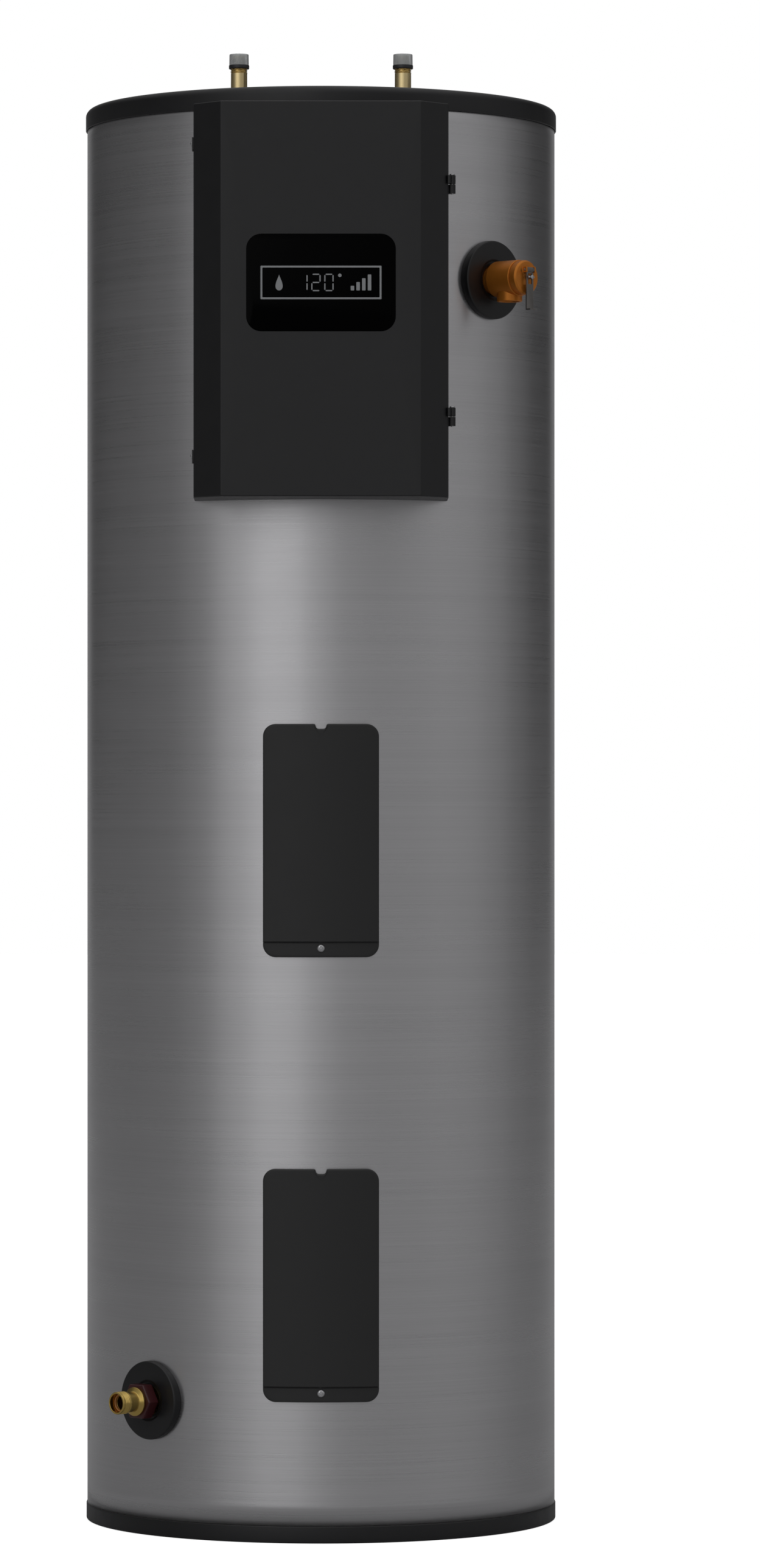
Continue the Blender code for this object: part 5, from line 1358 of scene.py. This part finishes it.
def make_drain_valve():
    place = outward(-VALVE_AZIMUTH, DRAIN_HEIGHT)
    low, high = RADIUS + 0.010, RADIUS + 0.026
    angle = TAU * np.arange(6) / 6
    corners = [COLLAR_RADIUS * np.cos(angle), COLLAR_RADIUS * np.sin(angle), np.full(6, 0.0016)]
    corners = np.column_stack(corners)
    outline = filleted(corners, 8)
    heights, insets = rounded_ends(low, high, 0.0016, 5)
    outer = carried(outline, heights, insets, place)
    bore = carried(
        COLLAR_BORE * outline / np.linalg.norm(outline, axis=1, keepdims=True), (high, low), (0, 0), place
    )
    piece(
        "drain_collar", [skin(np.concatenate([outer, bore]), rows_closed=True)], "drain_handle",
        [FINISH["collar"]], ["drain_handle"], crisp=30,
    )
    back, front = high + 0.0003, RADIUS + 0.059
    thread_low, thread_high = front - 0.0125, front - 0.0015
    threads = np.column_stack([np.full(90, NOSE_RADIUS), np.linspace(thread_low, thread_high, 90)])
    profile = np.vstack(
        [
            filleted(
                [
                    (0.0143, back, 0),
                    (0.0175, back, 0.0006),
                    (0.0175, back + 0.003, 0.0006),
                    (0.0123, back + 0.0055, 0.0015),
                    (0.0123, front - 0.0145, 0.0008),
                    (NOSE_RADIUS, front - 0.0130, 0.0003),
                ],
                5,
            ),
            threads,
            filleted(
                [
                    (0.0132, front, 0.0003),
                    (NOSE_MOUTH, front, 0.0005),
                    (NOSE_MOUTH, front - 0.010, 0),
                    (0.009, front - 0.010, 0.0004),
                    (0.009, high + 0.0023, 0),
                    (0.0143, high + 0.0023, 0),
                ],
                4,
            ),
        ]
    )
    # The hose thread is cut only on the nose, where the radius is the nose's own.
    nose = np.abs(profile[:, 0] - NOSE_RADIUS) < 1e-6
    rows = turned(profile, 96)
    angle = TAU * np.arange(96) / 96
    pitch, depth = 0.0022, 0.0009
    h = profile[:, 1:]
    fade = np.clip((h - thread_low) / pitch, 0, 1) * np.clip((thread_high - h) / pitch, 0, 1)
    r = profile[:, :1] - nose[:, None] * fade * depth * (1 - np.cos(TAU * h / pitch - angle)) / 2
    rows[..., 0], rows[..., 1] = r * np.cos(angle), r * np.sin(angle)
    piece(
        "drain_nose", [skin(placed(rows, place), rows_closed=True)], "heater", [FINISH["yellow"]],
        ["drain_spout"], crisp=30,
    )
    floor = front - 0.0097
    washer = filleted(
        [
            (0.009, floor, 0.0005),
            (0.0110, floor, 0.0004),
            (0.0110, floor + 0.003, 0.0008),
            (0.009, floor + 0.003, 0.0008),
        ],
        5,
    )
    piece(
        "hose_washer", [skin(turned(washer, 72, place), rows_closed=True)], "heater", [FINISH["amber"]],
        ["drain_washer"],
    )
    refined("drain_shank", FINISH["yellow"], edge=0.0003)
    dress(FINISH["rubber"], "drain_plug")


def make_inner_parts():
    dress(FINISH["tank"], "inner_tank")
    dress(FINISH["foam"], "foam_insulation")
    dress(FINISH["anode"], "anode_rod")
    dress(FINISH["red_wire"], "upper_harness", "lower_harness")


# Stage


def make_world():
    """White for the camera; for light, soft boxes at several azimuths in a dim room, and a bright ceiling."""
    world = bpy.data.worlds.new("studio")
    bpy.context.scene.world = world
    world.use_nodes = True
    tree = world.node_tree
    tree.nodes.clear()
    place = tree.nodes.new("ShaderNodeTexCoord").outputs["Generated"]
    split = tree.nodes.new("ShaderNodeSeparateXYZ")
    tree.links.new(place, split.inputs[0])
    forward = math_node(tree, "MULTIPLY", split.outputs["Y"], -1.0)
    azimuth = math_node(tree, "ARCTAN2", split.outputs["X"], forward)
    turn = math_node(tree, "MULTIPLY_ADD", azimuth, 1 / TAU, 0.5)
    ramp = tree.nodes.new("ShaderNodeValToRGB")
    ramp.color_ramp.interpolation = "EASE"
    tree.links.new(turn, ramp.inputs[0])
    stops = [
        (-180, 0.36), (-166, 0.24), (-150, 0.055), (-110, 0.08), (-80, 0.115), (-62, 0.23), (-42, 0.63),
        (-27, 0.97), (-14, 0.92), (-2, 0.58), (12, 0.37), (30, 0.33), (48, 0.35), (62, 0.385),
        (78, 0.36), (96, 0.26), (112, 0.13), (130, 0.05), (150, 0.045), (166, 0.22), (180, 0.36),
    ]
    elements = ramp.color_ramp.elements
    for k, (degrees, level) in enumerate(stops):
        at = degrees / 360 + 0.5
        element = elements[k] if k < 1 else (elements[-1] if k == len(stops) - 1 else elements.new(at))
        element.position = at
        element.color = (level, level, level * 1.01, 1)
    up = math_node(tree, "MULTIPLY_ADD", split.outputs["Z"], 1.6, -0.75, clamp=True)
    lit = mixed(tree, up, ramp.outputs[0], (0.80, 0.80, 0.81))
    room = tree.nodes.new("ShaderNodeBackground")
    tree.links.new(lit, room.inputs[0])
    backdrop = tree.nodes.new("ShaderNodeBackground")
    backdrop.inputs[0].default_value = (1, 1, 1, 1)
    choose = tree.nodes.new("ShaderNodeMixShader")
    tree.links.new(tree.nodes.new("ShaderNodeLightPath").outputs["Is Camera Ray"], choose.inputs[0])
    tree.links.new(room.outputs[0], choose.inputs[1])
    tree.links.new(backdrop.outputs[0], choose.inputs[2])
    tree.links.new(choose.outputs[0], tree.nodes.new("ShaderNodeOutputWorld").inputs[0])


def make_floor():
    """Plain pale floor that shows nearly white and keeps a faint contact shadow."""
    radius = np.array([0.0, 0.35, 0.6, 1.2, 3.0, 9.0, 30.0])
    grid = turned(np.column_stack([radius, np.zeros(7)]), 96)
    mesh = bpy.data.meshes.new("floor")
    mesh.from_pydata(grid.reshape(-1, 3).tolist(), [], cells(7, 96, False, True).reshape(-1, 4).tolist())
    tidy(mesh, solid=False)
    material = bpy.data.materials.new("pale floor")
    material.use_nodes = True
    tree = material.node_tree
    shader = tree.nodes["Principled BSDF"]
    shader.inputs["Base Color"].default_value = (0.50, 0.50, 0.50, 1)
    shader.inputs["Roughness"].default_value = 0.9
    shader.inputs["Specular IOR Level"].default_value = 0.0
    glow = tree.nodes.new("ShaderNodeEmission")
    glow.inputs["Color"].default_value = (1, 1, 1, 1)
    seen = tree.nodes.new("ShaderNodeLightPath").outputs["Is Camera Ray"]
    tree.links.new(math_node(tree, "MULTIPLY", seen, 0.86), glow.inputs["Strength"])
    both = tree.nodes.new("ShaderNodeAddShader")
    tree.links.new(shader.outputs[0], both.inputs[0])
    tree.links.new(glow.outputs[0], both.inputs[1])
    tree.links.new(both.outputs[0], tree.nodes["Material Output"].inputs[0])
    mesh.materials.append(material)
    floor = bpy.data.objects.new("floor", mesh)
    bpy.context.scene.collection.objects.link(floor)
    floor.location.z = -0.0002


def make_camera():
    data = bpy.data.cameras.new("camera")
    data.lens = LENS_MM
    data.sensor_width = SENSOR_MM
    data.shift_x, data.shift_y = 0.03765, 0.01436
    data.clip_end = 100
    camera = bpy.data.objects.new("camera", data)
    bpy.context.scene.collection.objects.link(camera)
    camera.location = (0, -FRONT_VIEW_DISTANCE, VIEW_HEIGHT)
    camera.rotation_euler = (math.radians(90), 0, 0)
    bpy.context.scene.camera = camera
    bpy.context.scene.view_settings.view_transform = "Standard"


# Add-on


class HeaterSizes(bpy.types.PropertyGroup):
    jacket_wall: FloatProperty(
        name="Jacket wall", description="Thickness of the jacket's sheet", default=0.001, min=0.0005,
        max=0.002, unit="LENGTH",
    )
    seam_depth: FloatProperty(
        name="Seam depth", description="Depth of the jacket's seam behind", default=0.0005, min=0.0,
        max=0.0008, unit="LENGTH",
    )
    box_edge: FloatProperty(
        name="Box edge", description="Rounding of the control box's edges", default=0.0016, min=0.0005,
        max=0.003, unit="LENGTH",
    )
    cover_edge: FloatProperty(
        name="Cover edge", description="Rounding of the access covers' edges", default=0.0018,
        min=0.001, max=0.002, unit="LENGTH",
    )
    cover_wall: FloatProperty(
        name="Cover wall", description="Thickness of the access covers", default=0.0018, min=0.001,
        max=0.002, unit="LENGTH",
    )


class HeaterColours(bpy.types.PropertyGroup):
    steel: FloatVectorProperty(
        name="Jacket steel", description="Colour of the brushed jacket", subtype="COLOR",
        default=(0.585, 0.580, 0.590), min=0, max=1,
    )
    shell: FloatVectorProperty(
        name="Shell plastic", description="Colour of the lid, base, control box and trim plates",
        subtype="COLOR", default=(0.0056, 0.0056, 0.0064), min=0, max=1,
    )
    cover: FloatVectorProperty(
        name="Cover plastic", description="Colour of the access covers", subtype="COLOR",
        default=(0.014, 0.014, 0.014), min=0, max=1,
    )
    brass: FloatVectorProperty(
        name="Nipple brass", description="Colour of the pipe nipples", subtype="COLOR",
        default=(0.80, 0.64, 0.34), min=0, max=1,
    )
    bronze: FloatVectorProperty(
        name="Relief valve bronze", description="Colour of the relief valve", subtype="COLOR",
        default=(0.62, 0.205, 0.022), min=0, max=1,
    )
    collar: FloatVectorProperty(
        name="Drain collar", description="Colour of the drain valve's collar", subtype="COLOR",
        default=(0.050, 0.008, 0.010), min=0, max=1,
    )
    amber: FloatVectorProperty(
        name="Hose washer", description="Colour of the washer in the drain's mouth", subtype="COLOR",
        default=(0.48, 0.20, 0.06), min=0, max=1,
    )


class HEATER_OT_stage(bpy.types.Operator):
    """Set up the studio light, the floor and the camera"""

    bl_idname = "heater.stage"
    bl_label = "Stage"

    def execute(self, context):
        make_world()
        make_floor()
        make_camera()
        return {"FINISHED"}


class HEATER_OT_finishes(bpy.types.Operator):
    """Make the materials that the pieces share"""

    bl_idname = "heater.finishes"
    bl_label = "Finishes"

    def execute(self, context):
        make_finishes(context.scene.heater_colours)
        return {"FINISHED"}


class HEATER_OT_shell(bpy.types.Operator):
    """Build the jacket, the lid and the base ring"""

    bl_idname = "heater.shell"
    bl_label = "Shell"

    def execute(self, context):
        make_jacket(context.scene.heater_sizes)
        make_lid()
        make_base()
        return {"FINISHED"}


class HEATER_OT_connections(bpy.types.Operator):
    """Build the pipe nipples, their sleeves and the cable inlet"""

    bl_idname = "heater.connections"
    bl_label = "Connections"

    def execute(self, context):
        make_connections()
        return {"FINISHED"}


class HEATER_OT_control_box(bpy.types.Operator):
    """Build the control box's door, walls, hinges and screws"""

    bl_idname = "heater.control_box"
    bl_label = "Control box"

    def execute(self, context):
        make_door(context.scene.heater_sizes)
        make_box_fittings()
        return {"FINISHED"}


class HEATER_OT_display(bpy.types.Operator):
    """Build the display window and what is printed on it"""

    bl_idname = "heater.display"
    bl_label = "Display"

    def execute(self, context):
        make_display()
        return {"FINISHED"}


class HEATER_OT_box_contents(bpy.types.Operator):
    """Build the board, contactor, terminals and leads behind the door"""

    bl_idname = "heater.box_contents"
    bl_label = "Box contents"

    def execute(self, context):
        make_box_contents()
        return {"FINISHED"}


class HEATER_OT_pockets(bpy.types.Operator):
    """Build both access covers and the element pockets behind them"""

    bl_idname = "heater.pockets"
    bl_label = "Covers and pockets"

    def execute(self, context):
        for name, centre in POCKETS.items():
            make_pocket(name, centre, context.scene.heater_sizes)
        return {"FINISHED"}


class HEATER_OT_relief_valve(bpy.types.Operator):
    """Build the relief valve and its trim plate"""

    bl_idname = "heater.relief_valve"
    bl_label = "Relief valve"

    def execute(self, context):
        make_escutcheon("relief", VALVE_AZIMUTH, RELIEF_HEIGHT)
        make_relief_valve()
        return {"FINISHED"}


class HEATER_OT_drain_valve(bpy.types.Operator):
    """Build the drain valve and its trim plate"""

    bl_idname = "heater.drain_valve"
    bl_label = "Drain valve"

    def execute(self, context):
        make_escutcheon("drain", -VALVE_AZIMUTH, DRAIN_HEIGHT)
        make_drain_valve()
        return {"FINISHED"}


class HEATER_OT_inner_parts(bpy.types.Operator):
    """Finish the tank, the foam, the anode and the harnesses"""

    bl_idname = "heater.inner_parts"
    bl_label = "Inner parts"

    def execute(self, context):
        make_inner_parts()
        return {"FINISHED"}


OPERATORS = (
    HEATER_OT_stage,
    HEATER_OT_finishes,
    HEATER_OT_shell,
    HEATER_OT_connections,
    HEATER_OT_control_box,
    HEATER_OT_display,
    HEATER_OT_box_contents,
    HEATER_OT_pockets,
    HEATER_OT_relief_valve,
    HEATER_OT_drain_valve,
    HEATER_OT_inner_parts,
)


class HEATER_PT_panel(bpy.types.Panel):
    """Sizes, colours and pieces of the water heater"""

    bl_label = "Tank Water Heater"
    bl_space_type = "VIEW_3D"
    bl_region_type = "UI"
    bl_category = "Heater"

    def draw(self, context):
        for group in (context.scene.heater_sizes, context.scene.heater_colours):
            column = self.layout.column()
            for name in group.__annotations__:
                column.prop(group, name)
        for operator in OPERATORS:
            self.layout.operator(operator.bl_idname)


CLASSES = (HeaterSizes, HeaterColours, *OPERATORS, HEATER_PT_panel)


def register():
    for cls in CLASSES:
        bpy.utils.register_class(cls)
    bpy.types.Scene.heater_sizes = PointerProperty(type=HeaterSizes)
    bpy.types.Scene.heater_colours = PointerProperty(type=HeaterColours)


def unregister():
    del bpy.types.Scene.heater_colours
    del bpy.types.Scene.heater_sizes
    for cls in reversed(CLASSES):
        bpy.utils.unregister_class(cls)


def main():
    register()
    for operator in OPERATORS:
        getattr(bpy.ops.heater, operator.bl_idname.split(".")[1])()


if __name__ == "__main__":
    main()
